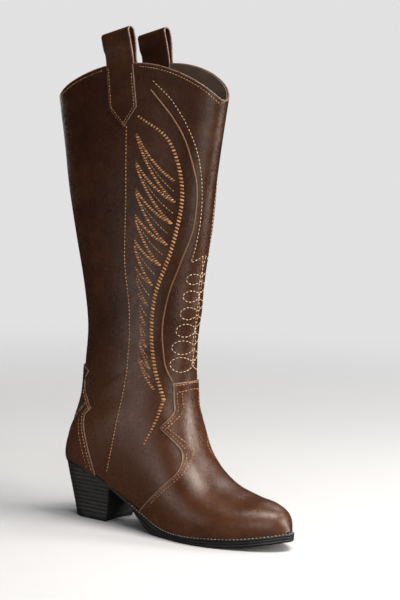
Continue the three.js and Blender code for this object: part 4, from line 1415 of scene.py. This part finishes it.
    work = Stitches()
    left, right = (line[0] + (STRAP_ROW_TOP - line[0, 1]) / (line[1, 1] - line[0, 1]) * (line[1] - line[0])
                   for line in (OUTSIDE_LEFT, OUTSIDE_RIGHT))
    corners = np.array([left, OUTSIDE_LEFT[0], OUTSIDE_TIP, OUTSIDE_RIGHT[0], right])
    share = np.linspace(0, 4, 121)
    outline = np.stack([np.interp(share, np.arange(5), corners[:, k]) for k in (0, 1)], -1)
    work.row(Line(locate(beside(outline, -STRAP_INSET)), side, TAIL_OUT + STRAP_HALF), length=2.1, pitch=3.1,
             radius=0.34, tone=(0.3, 0.9), salt=8)
    work.piece(f"strap_stitching_{word}", ORANGE)

work = Stitches()
welt_line = Line.through(welt_point(welt_s, welt_side, 2.1, 0.18),
                         np.tile([0, 0, 1.0], (len(welt_s), 1)))
work.row(welt_line, length=2.5, pitch=3.6, radius=0.46, tone=(0.4, 1.0), start=3)
work.piece("welt_stitching", GREY)


# ---------- parts kept from the frame ----------

KEPT = {"insole_board": FIBRE, "bottom_filler": CORK, "shank": STEEL, "heel_screw": STEEL}
KEPT.update({f"heel_nail_{k}": STEEL for k in (1, 2, 3, 4)})
for name, material in KEPT.items():
    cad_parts[name].data.materials.clear()
    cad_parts[name].data.materials.append(material)


# ---------- floor, light and camera ----------

FLOOR_CLEAR, FLOOR_END = 0.35, 1.5
FLOOR_RADIUS, FLOOR_DROP, FLOOR_SIDES = 1.6, 0.0004, 96


def floor_material():
    """Matt pale grey, fading out with the distance from the boot so that no edge shows."""
    sh = Shader("floor")
    grey = sh.ramp(sh.noise(3, 3), (0.3, (0.67, 0.67, 0.675)), (0.7, (0.70, 0.70, 0.705)))
    away = sh.add("ShaderNodeVectorMath", {"operation": "LENGTH"})
    sh.put(away, 0, sh.place)
    fade = sh.remap(away.outputs["Value"], FLOOR_CLEAR, FLOOR_END, 1, 0)
    sh.put(sh.surface, "Alpha", fade)
    return sh.finish(grey, 0.8, Specular_IOR_Level=0.1)


floor_turn = np.arange(FLOOR_SIDES) * 2 * math.pi / FLOOR_SIDES
floor_mesh = bpy.data.meshes.new("floor")
floor_mesh.from_pydata([(FLOOR_RADIUS * math.cos(a), FLOOR_RADIUS * math.sin(a), -FLOOR_DROP)
                        for a in floor_turn], [], [tuple(range(FLOOR_SIDES))])
floor_mesh.materials.append(floor_material())
floor = bpy.data.objects.new("floor", floor_mesh)
bpy.context.scene.collection.objects.link(floor)
floor.visible_glossy = False

AZIMUTH, ELEVATION, ROLL = np.radians([36, 7, 2.2])
DISTANCE = 2200
TARGET = np.array([110, 0, 215])
FRAMING = (32.7, 6.7)
SENSOR, LENS, FAR = 36, 137.28, 50
ca, sa, ce, se = math.cos(AZIMUTH), math.sin(AZIMUTH), math.cos(ELEVATION), math.sin(ELEVATION)
level_right = np.array([ca, sa, 0])
forward = np.array([-sa * ce, ca * ce, -se])
level_up = np.array([-sa * se, ca * se, ce])
right = math.cos(ROLL) * level_right + math.sin(ROLL) * level_up
up = -math.sin(ROLL) * level_right + math.cos(ROLL) * level_up


def aim(obj, place, x_axis, y_axis, z_axis):
    matrix = np.eye(4)
    matrix[:3, 0], matrix[:3, 1], matrix[:3, 2] = x_axis, y_axis, z_axis
    matrix[:3, 3] = row_frame(place)
    obj.matrix_world = Matrix(matrix.tolist())


camera_data = bpy.data.cameras.new("camera")
camera_data.sensor_fit = "VERTICAL"
camera_data.sensor_height, camera_data.lens, camera_data.clip_end = SENSOR, LENS, FAR
camera = bpy.data.objects.new("camera", camera_data)
bpy.context.scene.collection.objects.link(camera)
aim(camera, TARGET + FRAMING[0] * right + FRAMING[1] * up - DISTANCE * forward, right, up, -forward)
bpy.context.scene.camera = camera


LIGHT_DISTANCE = 1.6
WHITE, WARM = (1, 1, 1), (1.0, 0.965, 0.92)
BOOT_MIDDLE = np.array([110, 0, 220])


def softbox(name, around, above, size, power, tint=WHITE, distance=LIGHT_DISTANCE):
    """Square area light facing the boot: degrees around from the camera to the right, and up."""
    data = bpy.data.lights.new(name, "AREA")
    data.shape = "SQUARE"
    data.size = size
    data.energy = power
    data.color = tint
    lamp = bpy.data.objects.new(name, data)
    lamp.visible_camera = False
    bpy.context.scene.collection.objects.link(lamp)
    a, b = math.radians(around), math.radians(above)
    flat_forward = unit(np.array([forward[0], forward[1], 0]))
    z_axis = ((level_right * math.sin(a) - flat_forward * math.cos(a)) * math.cos(b)
              + np.array([0, 0, math.sin(b)]))
    x_axis = unit(np.cross([0, 0, 1.0], z_axis))
    place = BOOT_MIDDLE + z_axis * distance * 1000
    aim(lamp, place, x_axis, np.cross(z_axis, x_axis), z_axis)


for lamp in (("key", 60, 61, 0.6, 26, WARM), ("side", 84, 9, 0.6, 16, WARM),
             ("side_top", 106, 35, 0.5, 6), ("front", 40, 34, 0.5, 3, WARM),
             ("front_low", 14, 6, 0.9, 7.5, WARM), ("front_left", -50, 10, 0.6, 0.5),
             ("top_front", 8, 60, 0.6, 8), ("quarter", -64, -11, 0.22, 0.35, WHITE, 0.55),
             ("rim_left", -150, 10, 0.5, 1.7), ("rim_right", 150, 35, 0.5, 2.8)):
    softbox(*lamp)

world = bpy.data.worlds.new("studio")
world.use_nodes = True
bpy.context.scene.world = world
sky = world.node_tree
sky.nodes.clear()


def background(colour, strength):
    node = sky.nodes.new("ShaderNodeBackground")
    node.inputs["Color"].default_value = (*colour, 1)
    node.inputs["Strength"].default_value = strength
    return node


lit = background((0.90, 0.92, 0.95), 0.02)
seen = background((0.76, 0.755, 0.76), 1.0)
path = sky.nodes.new("ShaderNodeLightPath")
choose = sky.nodes.new("ShaderNodeMixShader")
output = sky.nodes.new("ShaderNodeOutputWorld")
sky.links.new(path.outputs["Is Camera Ray"], choose.inputs[0])
sky.links.new(lit.outputs[0], choose.inputs[1])
sky.links.new(seen.outputs[0], choose.inputs[2])
sky.links.new(choose.outputs[0], output.inputs[0])

bpy.context.scene.view_settings.view_transform = "Standard"
